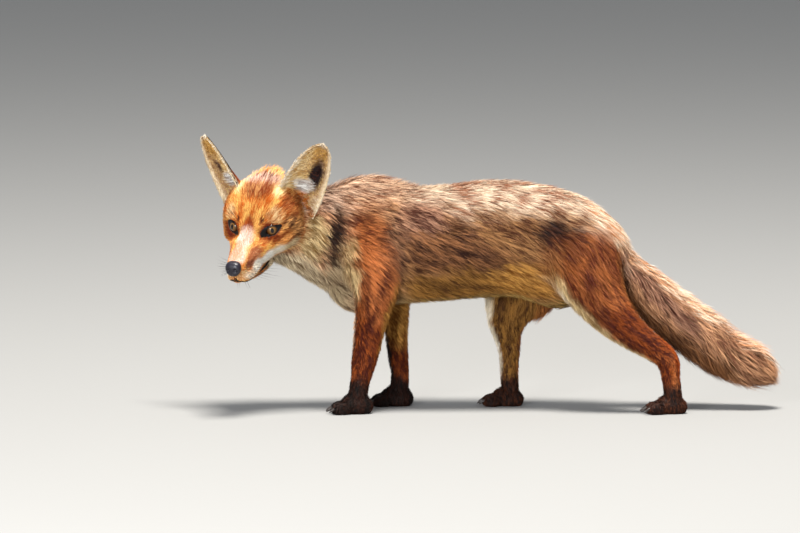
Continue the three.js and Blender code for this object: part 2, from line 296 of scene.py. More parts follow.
def tube(rows, sides=24, ends=(0.6, 0.6), full=0):
    """A closed tube under the coat: ellipses square to a smooth line, less the coat, with domed ends. Their
    upper half can be fuller: wider by a share of itself, most half-way between its side and its top."""
    fine = smooth_rows(rows, 6 * (len(rows) - 1) + 1)
    along, across, deep = line_axes(fine[:, :3])
    half, over, under = (np.maximum(fine[:, k] - fine[:, COLUMNS["coat"]], 3) for k in (3, 4, 5))
    dome = np.radians([75, 45, 20])
    pick = np.r_[[0] * 3, np.arange(len(fine)), [-1] * 3]
    reach = [share * min(half[k], over[k]) for share, k in zip(ends, (0, -1))]
    shift = np.r_[-reach[0] * np.sin(dome), np.zeros(len(fine)), reach[1] * np.sin(dome[::-1])]
    share = np.r_[np.cos(dome), np.ones(len(fine)), np.cos(dome[::-1])]
    angle = np.linspace(0, 2 * np.pi, sides, endpoint=False)
    swell = 1 + full * np.where(np.sin(angle) > 0, np.sin(2 * angle) ** 2, 0)
    depth = np.where(np.sin(angle) > 0, over[pick, None], under[pick, None])
    rings = (fine[pick, None, :3] + along[pick, None] * shift[:, None, None]
             + across[pick, None] * (share[:, None] * half[pick, None] * swell * np.cos(angle))[..., None]
             + deep[pick, None] * (share[:, None] * depth * swell * np.sin(angle))[..., None])
    tips = fine[[0, -1], :3] + along[[0, -1]] * np.array([[-reach[0]], [reach[1]]])
    return closed_rings(rings, tips)


def egg(at, half, turn=(0, 0, 0), coat=0.0, rows=12, sides=18):
    """A ball stretched to half-sizes less the coat, turned by degrees and set at a place."""
    polar = np.linspace(0, np.pi, rows + 2)[1:-1, None]
    angle = np.linspace(0, 2 * np.pi, sides, endpoint=False)
    ring = np.sin(polar)
    ball = np.stack([ring * np.cos(angle), ring * np.sin(angle), np.cos(polar) + 0 * angle], -1)
    poles = np.array([[0, 0, 1.0], [0, 0, -1.0]])
    ball, poles = ((part * (np.array(half) - coat)) @ turned(*turn).T + at for part in (ball, poles))
    return closed_rings(ball[:, ::-1], poles)


def merge(shapes):
    """Several shapes' points and faces as one list of each."""
    points, faces, count = [], [], 0
    for shape_points, shape_faces in shapes:
        points.append(shape_points)
        faces += [[count + k for k in face] for face in shape_faces]
        count += len(shape_points)
    return np.vstack(points), faces


def mesh_from(name, points, faces):
    """A mesh in metres from points in millimetres."""
    mesh = bpy.data.meshes.new(name)
    mesh.from_pydata(np.asarray(points) * TO_METRES, [], faces)
    return mesh


IN_FRAME = np.array([0, MIDDLE / TO_METRES, 0])  # from the fox's middle plane to the frame's


def place_piece(name, mesh, material, slot, *nodes):
    """Puts a smooth mesh of one material in the scene as a piece that rides on the body, in place of some
    of its nodes."""
    mesh.materials.append(material)
    mesh.shade_smooth()
    piece = bpy.data.objects.new(name, mesh)
    bpy.context.scene.collection.objects.link(piece)
    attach(piece, "root")
    if nodes:
        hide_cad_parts(*nodes)


def face_corners(mesh):
    """A mesh's four-cornered faces as rows of corner numbers; a three-cornered face repeats its last."""
    total = np.empty(len(mesh.polygons), np.int32)
    start = np.empty(len(mesh.polygons), np.int32)
    corner = np.empty(len(mesh.loops), np.int32)
    mesh.polygons.foreach_get("loop_total", total)
    mesh.polygons.foreach_get("loop_start", start)
    mesh.loops.foreach_get("vertex_index", corner)
    return corner[start[:, None] + np.minimum(np.arange(4), total[:, None] - 1)]


def remeshed(shapes, voxel, passes):
    """The outside of overlapping shapes as one even surface, each point moved `passes` times half-way to
    the middle of its neighbours."""
    shape = bpy.data.objects.new("shape", mesh_from("shape", *merge(shapes)))
    bpy.context.scene.collection.objects.link(shape)
    remesh = shape.modifiers.new("even", "REMESH")
    remesh.mode = "VOXEL"
    remesh.voxel_size = voxel * TO_METRES
    made = bpy.data.meshes.new_from_object(shape.evaluated_get(bpy.context.evaluated_depsgraph_get()))
    points = np.empty(len(made.vertices) * 3)
    made.vertices.foreach_get("co", points)
    points = points.reshape(-1, 3) / TO_METRES
    faces = face_corners(made)
    bpy.data.objects.remove(shape)
    edges = np.vstack([faces[:, [k, (k + 1) % 4]] for k in range(4)])
    degree = np.bincount(edges.ravel(), minlength=len(points))[:, None]
    for _ in range(passes):
        pull = np.stack([
            np.bincount(edges[:, 0], points[edges[:, 1], k], len(points))
            + np.bincount(edges[:, 1], points[edges[:, 0], k], len(points)) for k in range(3)
        ], 1)
        points = 0.5 * points + 0.5 * pull / degree
    return points, faces


PAW_TOES = (-1.5, -0.5, 0.5, 1.5)
PAWS = {  # x, y, length, width, height, degrees turned
    "fore_left": (-201, -43, 33, 19, 25, 4),
    "fore_right": (-144, 43, 33, 19, 25, -4),
    "hind_left": (244, -43, 33, 17.5, 23, 5),
    "hind_right": (14, 43, 33, 17.5, 23, -5),
}
LEGS = {"fore_left": FORE_LEFT, "fore_right": FORE_RIGHT, "hind_left": HIND_LEFT, "hind_right": HIND_RIGHT}
MUSCLES = [  # at, half-sizes, degrees turned
    ((-168, -34, 222), (46, 25, 62), (0, 12, 0)),
    ((-158, 34, 222), (46, 25, 62), (0, 6, 0)),
    ((126, -32, 214), (50, 27, 60), (0, -16, 0)),
    ((84, 32, 214), (54, 27, 56), (0, 24, 0)),
    ((-203, 0, 170), (33, 36, 27), (0, 20, 0)),  # brisket
]


def toe_reach(toe, long):
    """How far ahead of the paw a toe stands; the two in the middle reach further."""
    return long * (0.42 + 0.2 * (1 - abs(toe) / 2))


def paw(x, y, long, wide, high, turn):
    """A paw's instep and four toes, pointing along -X."""
    shapes = [egg((6, 0, high * 0.5), (long * 0.76, wide * 0.84, high * 0.74), (0, 8, 0), 2)]
    for toe in PAW_TOES:
        at = (-toe_reach(toe, long), toe * wide * 0.5, 8)
        shapes.append(egg(at, (14, wide * 0.31, 10.5), (0, 0, -7 * toe), 1.2))
    return [(points @ turned(0, 0, turn).T + (x, y, 0), faces) for points, faces in shapes]


def in_head(shapes):
    """Shapes made in the head's frame, put in the fox's."""
    return [(head_to_body(points), faces) for points, faces in shapes]


big_forms = [tube(TRUNK, 28, (0.6, 0.7)), tube(NECK, 28, (0.8, 0.6)), tube(TAIL, 18, (0.6, 0.8))]
big_forms += [tube(leg, 18, (0.8, 0.5)) for leg in LEGS.values()]
big_forms += [egg(*muscle, 9) for muscle in MUSCLES]
big_forms += in_head([tube(SKULL, 28, (0.7, 0.9), 0.06)])
ROUGH_VOXEL, FINE_VOXEL = 4.0, 2.2
rough_points, rough_faces = remeshed(big_forms, ROUGH_VOXEL, 4)
fine_forms = in_head([
    *[egg((-8, s * 20, 12), (24, 15, 11), (0, 22, s * 16), 3.5) for s in (1, -1)],  # brows
    *[egg((42, s * 10.5, -40.5), (34, 12, 14.5), (0, 3, s * -5), 1.4) for s in (1, -1)],  # upper lips
    *[egg((20, s * 10.5, -53.5), (42, 9.5, 9.5), (0, -4, s * -9), 2) for s in (1, -1)],  # lower jaw
    egg((53, 0, -45), (24, 11, 9.5), (0, 2, 0), 1.5),  # chin
    *[egg((-14, s * 40, -18), (26, 15, 15), (0, 0, s * -28), 6) for s in (1, -1)],  # cheekbones
])
for place in PAWS.values():
    fine_forms += paw(*place)
skin_points, skin_faces = remeshed([(rough_points, rough_faces.tolist()), *fine_forms], FINE_VOXEL, 3)
skin_points[:, 2] = np.maximum(skin_points[:, 2], 0)

# ---- Mouth ----
# The mouth is closed in front and open by a few millimetres behind, as in a fox that pants lightly. A
# groove in the skin takes the lips; it runs from under the nose to the corners below the eyes.
LIP_LINE = [  # forward, out, up, and how wide the mouth stands open
    (78, 0, -42, 0), (76, 3.5, -46.5, 0), (69, 10, -48.6, 0.2), (57, 14, -49.4, 0.4),
    (47, 16, -49.8, 0.8), (37, 16.5, -50, 1.8), (27, 16, -50.4, 3.2), (16, 16.8, -50.4, 3.6),
    (5, 18.6, -50, 3), (-4, 21, -49.2, 1.6), (-10, 24, -48, 0.3),
]
half_lip = smooth_rows(LIP_LINE, 60)
lip_line = np.vstack([half_lip[:0:-1] * (1, -1, 1, 1), half_lip])


def grooved(points):
    """Skin points near the lip line pressed towards the mouth's inside, deeper where it stands open."""
    head = body_to_head(points)
    near = np.flatnonzero((head[:, 0] > -15) & (head[:, 2] < -30))
    gap = ((head[near, None] - lip_line[:, :3]) ** 2).sum(2)
    opening = lip_line[gap.argmin(1), 3]
    press = (0.5 + 0.9 * opening) * np.exp(-gap.min(1) / (1.3 + opening / 2) ** 2)
    inward = unit(np.stack([0 * press, -head[near, 1], -44 - head[near, 2]], 1))
    head[near] += press[:, None] * inward
    return head_to_body(head)


# ---- Eye sockets ----
# Each eye looks out of a shallow facet of the face, turned half to the side. The facet is pressed into
# the skin here, and a pit in it takes the eyeball.
EYE_RADIUS = 10.5
EYE_OUTWARD = unit(np.array([0.826, 0.536, 0.174]))
EYE_ALONG = unit(np.array([-0.559, 0.817, 0.138]))  # from the inner corner to the outer
EYE_OVER = np.cross(EYE_OUTWARD, EYE_ALONG)
FACET_HEIGHT = 6.3  # the facet's distance from the eyeball's middle
PIT_DEPTH = 9
EYE_MIDDLE = np.array([-0.5, -0.5])
# For the left eye (1) and the right (-1), which is opened wider: the eyeball's middle and where it looks,
# both as on the left side, and along and over from its axis the opening between the lids and the black
# skin round it.
EYES = {
    1: dict(
        at=(-2.9, 27, 0.6), look=(0.82, 0.54, 0.18),
        opening=[
            (-9.6, -1.6), (-6.6, 3), (-2.5, 5.3), (3, 4.9), (8.6, 1.8), (7.2, -2.6), (3.2, -5.6), (-3, -5.7),
        ],
        rim=[
            (-24, -3.4), (-17.5, 1.4), (-9, 6.2), (2, 6.6), (8.5, 4.2), (18, 4.2), (12.4, -1.6), (6, -6.5),
            (-3, -8.2), (-13.8, -6.8),
        ]),
    -1: dict(
        at=(-0.7, 23.5, 1.5), look=(0.9, 0.34, 0.28),
        opening=[
            (-8.6, -2), (-8, 3), (-4, 6.2), (2, 6.2), (7, 3.4), (8.6, -1), (5, -5.6), (-1, -6.8),
            (-5.5, -5.2),
        ],
        rim=[
            (-16, -9), (-11.8, -1), (-11, 5), (-5, 9), (3, 8.8), (9.5, 6), (15.5, 3), (12, -4), (7, -8.6),
            (0, -9.4), (-6, -8.8),
        ]),
}


def mirrored(points, hand):
    """Points of the left side (hand 1), or their mirror image on the right (hand -1)."""
    return points * np.array([1, hand, 1])


def eye_coordinates(points, hand):
    """Points of the head as along, over and outward from that side's eyeball."""
    out = mirrored(points, hand) - EYES[hand]["at"]
    return out @ EYE_ALONG, out @ EYE_OVER, out @ EYE_OUTWARD


def outline_radius(outline, angle):
    """How far an outline is from the eye's middle at an angle: between its points' own, and then smoothed."""
    corner = np.array(outline) - EYE_MIDDLE
    fine = np.linspace(-np.pi, np.pi, 180, endpoint=False)
    around = np.arctan2(corner[:, 1], corner[:, 0])
    order = np.argsort(around)
    radius = np.interp(fine, around[order], np.hypot(*corner.T)[order], period=2 * np.pi)
    radius = np.mean([np.roll(radius, k) for k in range(-6, 7)], axis=0)
    return np.interp(angle, fine, radius, period=2 * np.pi)


def within(outline, along, over):
    """Where a place is inside an outline: 0 at the eye's middle, 1 on the outline."""
    x, y = along - EYE_MIDDLE[0], over - EYE_MIDDLE[1]
    return np.hypot(x, y) / outline_radius(outline, np.arctan2(y, x))


def pressed_sockets(points):
    """Skin points with both facets pressed in: outward distances drawn to the facet's, fully near the eye."""
    head = body_to_head(points)
    for hand in (1, -1):
        along, over, outward = eye_coordinates(head, hand)
        far = np.hypot((along + 1) / 31, over / 19)
        t = np.clip((1 - far) / 0.5, 0, 1)
        part = np.where(outward > -4, t * t * (3 - 2 * t), 0)
        head = head + mirrored(((FACET_HEIGHT - outward) * part)[:, None] * EYE_OUTWARD, hand)
    return head_to_body(head)


lip_tree = BVHTree.FromPolygons([Vector(p) for p in skin_points], skin_faces.tolist())
skin_points = grooved(pressed_sockets(skin_points))

# ---- Lie of the coat ----
# Hair runs from the nose back over the head, neck and trunk to the end of the tail, and down the legs
# to the toes. On the sides it also hangs. Its length and how far it stands off come from the same tables.
LINES = {  # table, which way hair runs along its line, how much it hangs, how much it sweeps to the rear
    "trunk": (TRUNK, 1, 0.5, 0),
    "neck": (NECK, -1, 0.55, 0),
    "tail": (TAIL, 1, 0.2, 0),
    "fore_left": (FORE_LEFT, 1, 0, 1.1),
    "fore_right": (FORE_RIGHT, 1, 0, 1.1),
    "hind_left": (HIND_LEFT, 1, 0, 0.3),
    "hind_right": (HIND_RIGHT, 1, 0, 0.3),
    "skull": (SKULL, -1, 0.25, 0),
}
LINE_NAMES = list(LINES)
LINE_SAMPLES = 60
UP = np.array([0, 0, 1.0])


def sampled_line(name):
    """A table's line as many even samples: places, axes and columns, in the fox's frame."""
    rows = smooth_rows(LINES[name][0], LINE_SAMPLES)
    along, across, deep = line_axes(rows[:, :3])
    centre = rows[:, :3]
    if name == "skull":
        centre = head_to_body(centre)
        along, across, deep = (axis @ HEAD_AXES.T for axis in (along, across, deep))
    return centre, along, across, deep, rows


SAMPLED = {name: sampled_line(name) for name in LINES}
# Where hair stands up or is longer: place, half-sizes, extra stand-off, times the length.
BODY_TUFTS = [
    ((-160, 0, 322), (55, 40, 24), 7, 1.25),  # ruff at the withers
    ((-235, -4, 316), (40, 30, 18), 5, 1.2),  # nape
    ((-204, -4, 150), (34, 42, 30), 6, 1.3),  # chest
    ((82, 0, 150), (50, 52, 24), 10, 1.7),  # groin
    ((176, -34, 150), (26, 20, 30), 3, 1.2),  # back of the thigh
    ((150, 4, 262), (40, 40, 26), 4, 1.15),  # rump
    ((20, 0, 328), (130, 46, 16), 3, 1.15),  # back
]
HEAD_TUFTS = [
    ((-58, 4, 54), (18, 46, 18), 13, 2.1),  # crown, between the ears
    *[((-30, s * 52, -22), (20, 16, 22), 4, 1.35) for s in (1, -1)],  # cheeks
    ((-40, 0, -54), (36, 36, 14), 4, 1.3),  # throat
    *[((8, s * 21, 0), (24, 15, 14), -1, 0.4) for s in (1, -1)],  # round the eyes, where it is shortest
]


def nearness(points, place, half):
    """One at a place, falling smoothly to nothing at its half-sizes."""
    far = np.linalg.norm((points - place) / half, axis=1)
    return np.clip(1.3 * (1 - far), 0, 1) ** 2 * (3 - 2 * np.clip(1.3 * (1 - far), 0, 1))


def read_coat(points, normals):
    """What the coat does at points of the skin: for each line how much the point is part of it, how far
    along it and how far round it the point is; and overall the hair's direction, stand-off and length."""
    share, turn, side, weight, flow, columns = [], [], [], [], 0, 0
    for name, (_, way, hang, sweep) in LINES.items():
        centre, along, across, deep, rows = SAMPLED[name]
        gap = (points**2).sum(1)[:, None] - 2 * points @ centre.T + (centre**2).sum(1)
        near = gap.argmin(1)
        out = points - centre[near]
        x, y, z = ((out * axis[near]).sum(1) for axis in (along, across, deep))
        half, over, under = (np.maximum(rows[near, k] - rows[near, 6], 3) for k in (3, 4, 5))
        y, z = y / half, z / np.where(z > 0, over, under)
        beyond = np.where((near == 0) | (near == LINE_SAMPLES - 1), x / half, 0)
        out = np.sqrt(y**2 + z**2 + beyond**2)
        away = np.sqrt(gap[np.arange(len(points)), near])
        part = np.exp(-((np.maximum(out - 1, 0) / 0.25) ** 2)) + 1e-3 * np.exp(-away / 6)
        leg = name in LEGS
        top = -z if leg else z * np.sign(deep[LINE_SAMPLES // 2, 2])
        share.append(near / (LINE_SAMPLES - 1))
        turn.append(np.arctan2(y, top) / np.pi)
        side.append(y * np.sign(centre[-1, 1]) if leg else np.zeros(len(points)))
        weight.append(part)
        run = way * along[near] - hang * UP + sweep * (1 - share[-1][:, None]) * np.array([1, 0, 0])
        flow = flow + part[:, None] * unit(run)
        columns = columns + part[:, None] * rows[near, 6:8]
    weight = np.array(weight)
    total = weight.sum(0)
    coat, hair = (columns / total[:, None]).T
    in_head_frame = body_to_head(points)
    for tufts, places in ((BODY_TUFTS, points), (HEAD_TUFTS, in_head_frame)):
        for place, half, extra, times in tufts:
            close = nearness(places, place, half)
            coat = coat + extra * close
            hair = hair * (1 + (times - 1) * close)
    flow = flow - normals * (flow * normals).sum(1)[:, None]
    return dict(share=np.array(share), turn=np.array(turn), side=np.array(side), weight=weight / total,
                flow=unit(flow), coat=coat, hair=hair, head=in_head_frame)


# ---- Markings ----
# A red fox's colours: russet on the shoulders, thighs and legs, sandy guard hairs over the back,
# dark bands, golden flanks, pale throat and belly, an orange face with white lips and black stockings.
# Each mark: share along its line, way round (0 top or front, 1 under or rear), reach of both,
# its hair, and for a leg the side it is on: 1 outside, -1 inside, 0 both.
HAIR = {  # the darkest and the lightest hair of a patch
    "sooty": ("#100c0a", "#301c14"),
    "sable": ("#18100e", "#4e3020"),
    "umber": ("#2a1610", "#9c7250"),
    "deep russet": ("#401a14", "#965628"),
    "russet": ("#502418", "#a0683e"),
    "bright russet": ("#50281a", "#ca8654"),
    "burnt orange": ("#682a18", "#a85e28"),
    "walnut": ("#6a3a26", "#a07058"),
    "cinnamon": ("#9c5c38", "#ce9c76"),
    "copper": ("#803e1c", "#dcae78"),
    "amber": ("#82441c", "#eeb270"),
    "fox orange": ("#c66c22", "#f2cc80"),
    "peach": ("#ba7838", "#f2d8aa"),
    "flaxen": ("#d49a58", "#fff0c0"),
    "golden": ("#744c20", "#d8aa64"),
    "old gold": ("#422a16", "#a88048"),
    "dun": ("#503a1e", "#c6a86e"),
    "fawn": ("#482a18", "#b48c62"),
    "tawny": ("#46281a", "#dcaa72"),
    "smoke": ("#4c2e24", "#be9880"),
    "ash": ("#624638", "#ead2be"),
    "apricot": ("#624030", "#e6ba94"),
    "sand": ("#8a5c42", "#eccaa6"),
    "frosted": ("#906248", "#f2e4ce"),
    "frost": ("#74483a", "#e2c2b0"),
    # painted highlight: pale straw on the lit tops of the rump and tail
    "straw highlight": ("#c8946a", "#f2ead8"),
    "biscuit": ("#c49a7a", "#e8d6cc"),
    # painted shade: buff darkened for the chest's underside
    "buff in shade": ("#584838", "#c0ae90"),
    "grey buff": ("#5c4a38", "#c4b294"),
    "buff": ("#6c5842", "#ecdcbe"),
    "cream": ("#84683e", "#f2dcb0"),
    "ivory": ("#dcc8a0", "#f0e4c8"),
    "white": ("#e6dac2", "#f5f0e6"),
    "pure white": ("#eee6d6", "#f6f4ee"),
}
TRUNK_MARKS = [
    (0.5, 0.5, 9, 9, "fawn", 0),
    (0.6, 0.0, 0.55, 0.42, "frosted", 0),
    (0.05, 0.05, 0.2, 0.34, "sand", 0),
    (0.28, 0.37, 0.11, 0.14, "smoke", 0),
    (0.42, 0.56, 0.26, 0.16, "umber", 0),
    (0.63, 0.5, 0.16, 0.14, "fawn", 0),
    (0.07, 0.55, 0.11, 0.26, "russet", 0),
    (0.185, 0.55, 0.05, 0.24, "sable", 0),
    (0.4, 0.8, 0.28, 0.14, "old gold", 0),
    (0.66, 0.76, 0.16, 0.15, "golden", 0),
    (0.72, 0.46, 0.07, 0.1, "sable", 0),
    (0.82, 0.52, 0.07, 0.13, "sable", 0),
    (0.94, 0.58, 0.1, 0.25, "russet", 0),
    # painted highlight on the rump's top
    (0.97, 0.1, 0.18, 0.34, "straw highlight", 0),
    (0.5, 1.0, 0.7, 0.1, "dun", 0),
]
NECK_MARKS = [
    (0.5, 0.5, 9, 9, "apricot", 0),
    (0.45, 0.0, 0.6, 0.34, "ash", 0),
    (0.82, 0.5, 0.16, 0.3, "tawny", 0),
    (0.15, 0.5, 0.14, 0.24, "bright russet", 0),
    (0.53, 0.56, 0.13, 0.2, "cream", 0),
    (0.6, 0.95, 0.45, 0.26, "buff", 0),
    (0.3, 0.78, 0.15, 0.16, "grey buff", 0),
    # painted shade under the chest
    (0.05, 1.0, 0.2, 0.2, "buff in shade", 0),
    (0.37, 0.5, 0.06, 0.19, "sooty", 0),
]
TAIL_MARKS = [
    (0.5, 0.5, 9, 9, "apricot", 0),
    # painted highlight along the tail's top
    (0.5, 0.0, 0.9, 0.34, "straw highlight", 0),
    (0.42, 0.46, 0.3, 0.15, "smoke", 0),
    (0.08, 0.42, 0.15, 0.3, "ash", 0),
    (0.6, 0.9, 0.55, 0.3, "umber", 0),
    (1.0, 0.65, 0.14, 0.45, "apricot", 0),
]
FORE_MARKS = [
    (0.5, 0.5, 9, 9, "deep russet", 0),
    (0.15, 0.5, 0.3, 0.9, "bright russet", 1),
    (0.45, 0.5, 0.45, 0.5, "golden", -1),
    (0.5, 1.0, 0.35, 0.16, "golden", 0),
    (0.1, 0.0, 0.34, 0.34, "cream", 0),
    (0.5, 0.0, 0.3, 0.14, "sand", 0),
    (0.82, 0.5, 0.22, 0.9, "deep russet", 0),
    (0.75, 0.1, 0.25, 0.2, "sooty", -1),
    (1.0, 0.4, 0.16, 0.9, "sooty", 0),
]
HIND_MARKS = [
    (0.5, 0.5, 9, 9, "bright russet", 0),
    (0.12, 0.5, 0.25, 0.9, "russet", 1),
    (0.55, 0.6, 0.24, 0.5, "deep russet", 1),
    (0.5, 0.5, 0.6, 0.6, "old gold", -1),
    (0.42, 0.0, 0.35, 0.24, "cream", 0),
    (0.86, 0.3, 0.18, 0.34, "deep russet", 1),
    (0.8, 0.95, 0.25, 0.25, "burnt orange", 1),
    (0.6, 0.0, 0.5, 0.22, "white", -1),
    (1.0, 0.4, 0.1, 0.9, "sable", 0),
]
LINE_MARKS = {"trunk": TRUNK_MARKS, "neck": NECK_MARKS, "tail": TAIL_MARKS}
LINE_MARKS |= {name: FORE_MARKS if "fore" in name else HIND_MARKS for name in LEGS}
HEAD_MARKS = [  # forward, out to either side, up; their reach; hair
    ((0, 0, 0), (999, 999, 999), "fox orange"),
    ((-25, 0, 34), (26, 24, 20), "fox orange"),
    ((-45, 0, 50), (26, 40, 22), "copper"),
    ((-64, 0, 54), (22, 36, 22), "frost"),
    ((-30, 50, -4), (24, 20, 26), "tawny"),
    ((-12, 42, -10), (20, 16, 14), "amber"),
    ((-14, 34, 20), (16, 12, 14), "peach"),
    ((12, 0, 12), (22, 10, 17), "burnt orange"),
    ((4, 30, 0), (26, 17, 15), "burnt orange"),
    ((34, 0, 2), (34, 15, 14), "biscuit"),
    ((62, 0, -12), (24, 15, 12), "biscuit"),
    ((40, 19, -18), (24, 9, 12), "cinnamon"),
    ((56, 16, -26), (12, 7, 6), "walnut"),
    ((68, 10, -37), (16, 14, 11), "peach"),
    ((54, 13, -41), (16, 8, 8), "white"),
    ((34, 19, -36), (18, 9, 9), "pure white"),
    ((12, 27, -36), (19, 12, 12), "pure white"),
    ((-12, 38, -34), (19, 14, 13), "white"),
    ((-28, 48, -32), (16, 16, 12), "ivory"),
    ((52, 0, -60), (26, 12, 6), "grey buff"),
    ((16, 14, -61), (34, 10, 5), "grey buff"),
    ((-25, 18, -58), (40, 40, 18), "buff"),
    ((-42, 46, 26), (20, 20, 22), "amber"),
    ((-40, 30, 44), (12, 9, 10), "flaxen"),
    # painted shade: a thin dark line above the inner corner of each eye, in the brow's crease
    ((2, 18.5, 18), (6, 2.6, 7), "deep russet"),
]


def paint(code):
    """A colour written #rrggbb, as the light it gives back."""
    value = np.array([int(code[k:k + 2], 16) for k in (1, 3, 5)]) / 255
    return np.where(value > 0.04045, ((value + 0.055) / 1.055) ** 2.4, value / 12.92)


def hair_colour(code):
    """A hair's own colour from how it looks in white light, whose sheen pales it: each part of the colour is
    its share of the strongest, to the power 1.3."""
    seen = paint(code)
    return seen.max() * (seen / seen.max()) ** 1.3


hair_colours = {hair: np.concatenate([hair_colour(code) for code in pair]) for hair, pair in HAIR.items()}


def fade(far):
    """One up to three fifths of a reach, smoothly down to nothing a fifth past it."""
    t = np.clip((1.2 - far) / 0.6, 0, 1)
    return t * t * (3 - 2 * t)


def mottle(points, size, seed):
    """Smooth random values between 0 and 1, about `size` apart."""
    place = points / size + 50
    cell = np.floor(place).astype(np.int64)
    t = place - cell
    t = t * t * (3 - 2 * t)
    value = 0
    for corner in np.ndindex(2, 2, 2):
        key = (cell + corner) @ np.array([73856093, 19349663, 83492791]) + seed * 2654435761
        key = (key ^ (key >> 13)) * 1274126177 & 0xFFFFFFFF
        value = value + np.prod(np.where(corner, t, 1 - t), axis=1) * ((key >> 8) & 0xFFFF) / 0xFFFF
    return value


def markings(points, coat):
    """The darkest and the lightest hair at points of the skin, from the marks of every line near them."""
    ragged = (mottle(points, 9, 3) - 0.5)[:, None] * 0.5 + (mottle(points, 26, 4) - 0.5)[:, None] * 0.4
    blended = np.zeros((len(points), 6))
    for k, name in enumerate(LINE_NAMES):
        made = np.zeros((len(points), 6))
        if name == "skull":
            for place, reach, hair in HEAD_MARKS:
                out = (coat["head"] * (1, 0, 1) + np.abs(coat["head"]) * (0, 1, 0) - place) / reach
                part = fade(np.linalg.norm(out, axis=1)[:, None] + 0.6 * ragged)
                made += part * (hair_colours[hair] - made)
        else:
            for share, turn, long, round_, hair, side in LINE_MARKS[name]:
                far = np.hypot((coat["share"][k] - share) / long, (np.abs(coat["turn"][k]) - turn) / round_)
                part = fade(far[:, None] + ragged)
                if side:
                    part = part * np.clip(0.5 + 1.5 * side * coat["side"][k], 0, 1)[:, None]
                made += part * (hair_colours[hair] - made)
        blended += coat["weight"][k][:, None] * made
    return blended[:, :3], blended[:, 3:]


def point_normals(points, faces):
    """The outward direction at each point, from the faces round it."""
    a, b, c, d = (points[faces[:, k]] for k in range(4))
    facing = np.cross(c - a, d - b)
    total = [sum(np.bincount(faces[:, j], facing[:, k], len(points)) for j in range(4)) for k in range(3)]
    return unit(np.stack(total, 1))


skin_normals = point_normals(skin_points, skin_faces)
skin_coat = read_coat(skin_points, skin_normals)
skin_dark, skin_light = markings(skin_points, skin_coat)


def set_colours(mesh, name, colours):
    """Puts one colour at each point of a mesh, as an attribute."""
    layer = mesh.color_attributes.new(name, "FLOAT_COLOR", "POINT")
    opaque = np.hstack([colours, np.ones((len(colours), 1))])
    layer.data.foreach_set("color", opaque.astype(np.float32).ravel())


def coloured_material(name, roughness, layer):
    """A material whose colour is a mesh's own attribute."""
    material, shader = new_material(name, roughness)
    colour = add_node(material, "VertexColor", layer_name=layer)
    connect(material, (colour.outputs["Color"], shader.inputs["Base Color"]))
    return material, shader


# ---- Eyelids ----
# Thin lids of black skin wrap the eyeball. Their edge stands a little proud of it, and the black runs out
# to a point at each corner before the hair begins. They are part of the skin.
# The pink is a painted highlight along the lower lid's outer margin.
BLACK_SKIN, LOWER_LID_SHEEN = paint("#090606"), paint("#b58272")
LID_COLUMNS = 72
LID_ROWS = [  # share of the way from the opening to the rim, and how far it stands off
    (-0.5, -5.0), (-0.12, -1.4), (0, 0.35), (0.1, 1.1), (0.3, 1.3), (0.55, 0.9), (0.8, 0.4), (1, 0.1),
    (1.35, -1.2),
]
lid_angle = np.linspace(-np.pi, np.pi, LID_COLUMNS, endpoint=False)
skin_tree = BVHTree.FromPolygons([Vector(p) for p in skin_points], skin_faces.tolist())


def eye_point(hand, along, over, outward):
    """A place given along, over and outward from one side's eyeball, in the fox's frame."""
    out = along[..., None] * EYE_ALONG + over[..., None] * EYE_OVER + outward[..., None] * EYE_OUTWARD
    return head_to_body(mirrored(EYES[hand]["at"] + out, hand))


def skin_height(hand, along, over):
    """The skin's outward distance from the eyeball's middle, seen straight in at places round the eye."""
    origin = eye_point(hand, along, over, np.full_like(along, 40.0))
    inward = -(mirrored(EYE_OUTWARD, hand) @ HEAD_AXES.T)
    hit = [skin_tree.ray_cast(Vector(p), Vector(inward))[3] for p in origin]
    return 40.0 - np.array([40.0 if far is None else far for far in hit])


def eyelids(hand):
    """A ring of skin from inside the socket, over the lid's edge, across the black rim and under the hair;
    its rows lie at heights between the eyeball's and the skin's."""
    opening_edge, rim_edge = (outline_radius(EYES[hand][k], lid_angle) for k in ("opening", "rim"))
    rows = []
    for share, lift in LID_ROWS:
        radius = opening_edge + share * (rim_edge - opening_edge if share >= 0 else opening_edge)
        along = EYE_MIDDLE[0] + radius * np.cos(lid_angle)
        over = EYE_MIDDLE[1] + radius * np.sin(lid_angle)
        ball = np.sqrt(np.maximum(EYE_RADIUS**2 - along**2 - over**2, 5.2**2))
        face = skin_height(hand, along, over)
        blend = np.clip(share / 0.8, 0, 1) ** 1.5
        rows.append(eye_point(hand, along, over, ball * (1 - blend) + face * blend + lift))
    ring = np.array(rows)
    faces = grid_faces(len(rows), LID_COLUMNS, True)
    return ring.reshape(-1, 3), (faces[:, ::-1] if hand > 0 else faces)


lids = [eyelids(hand) for hand in (1, -1)]
# Painted highlight: pale pink along the lower lid's outer margin, where light catches it.
below = np.clip(-np.sin(lid_angle - 0.25) * 1.6 - 0.3, 0, 1)[:, None]
lid_colours = np.tile(BLACK_SKIN, (len(LID_ROWS), LID_COLUMNS, 1))
for row, part in ((6, 0.35), (7, 1), (8, 1)):
    lid_colours[row] += part * below * (LOWER_LID_SHEEN - BLACK_SKIN)
lid_colours = lid_colours.reshape(-1, 3)
in_head_frame = body_to_head(skin_points)
for hand in (1, -1):
    along, over, outward = eye_coordinates(in_head_frame, hand)
    pit = (within(EYES[hand]["rim"], along, over) < 0.72) & (outward > 0)
    in_head_frame = in_head_frame - mirrored((PIT_DEPTH * pit)[:, None] * EYE_OUTWARD, hand)
skin_points = head_to_body(in_head_frame)
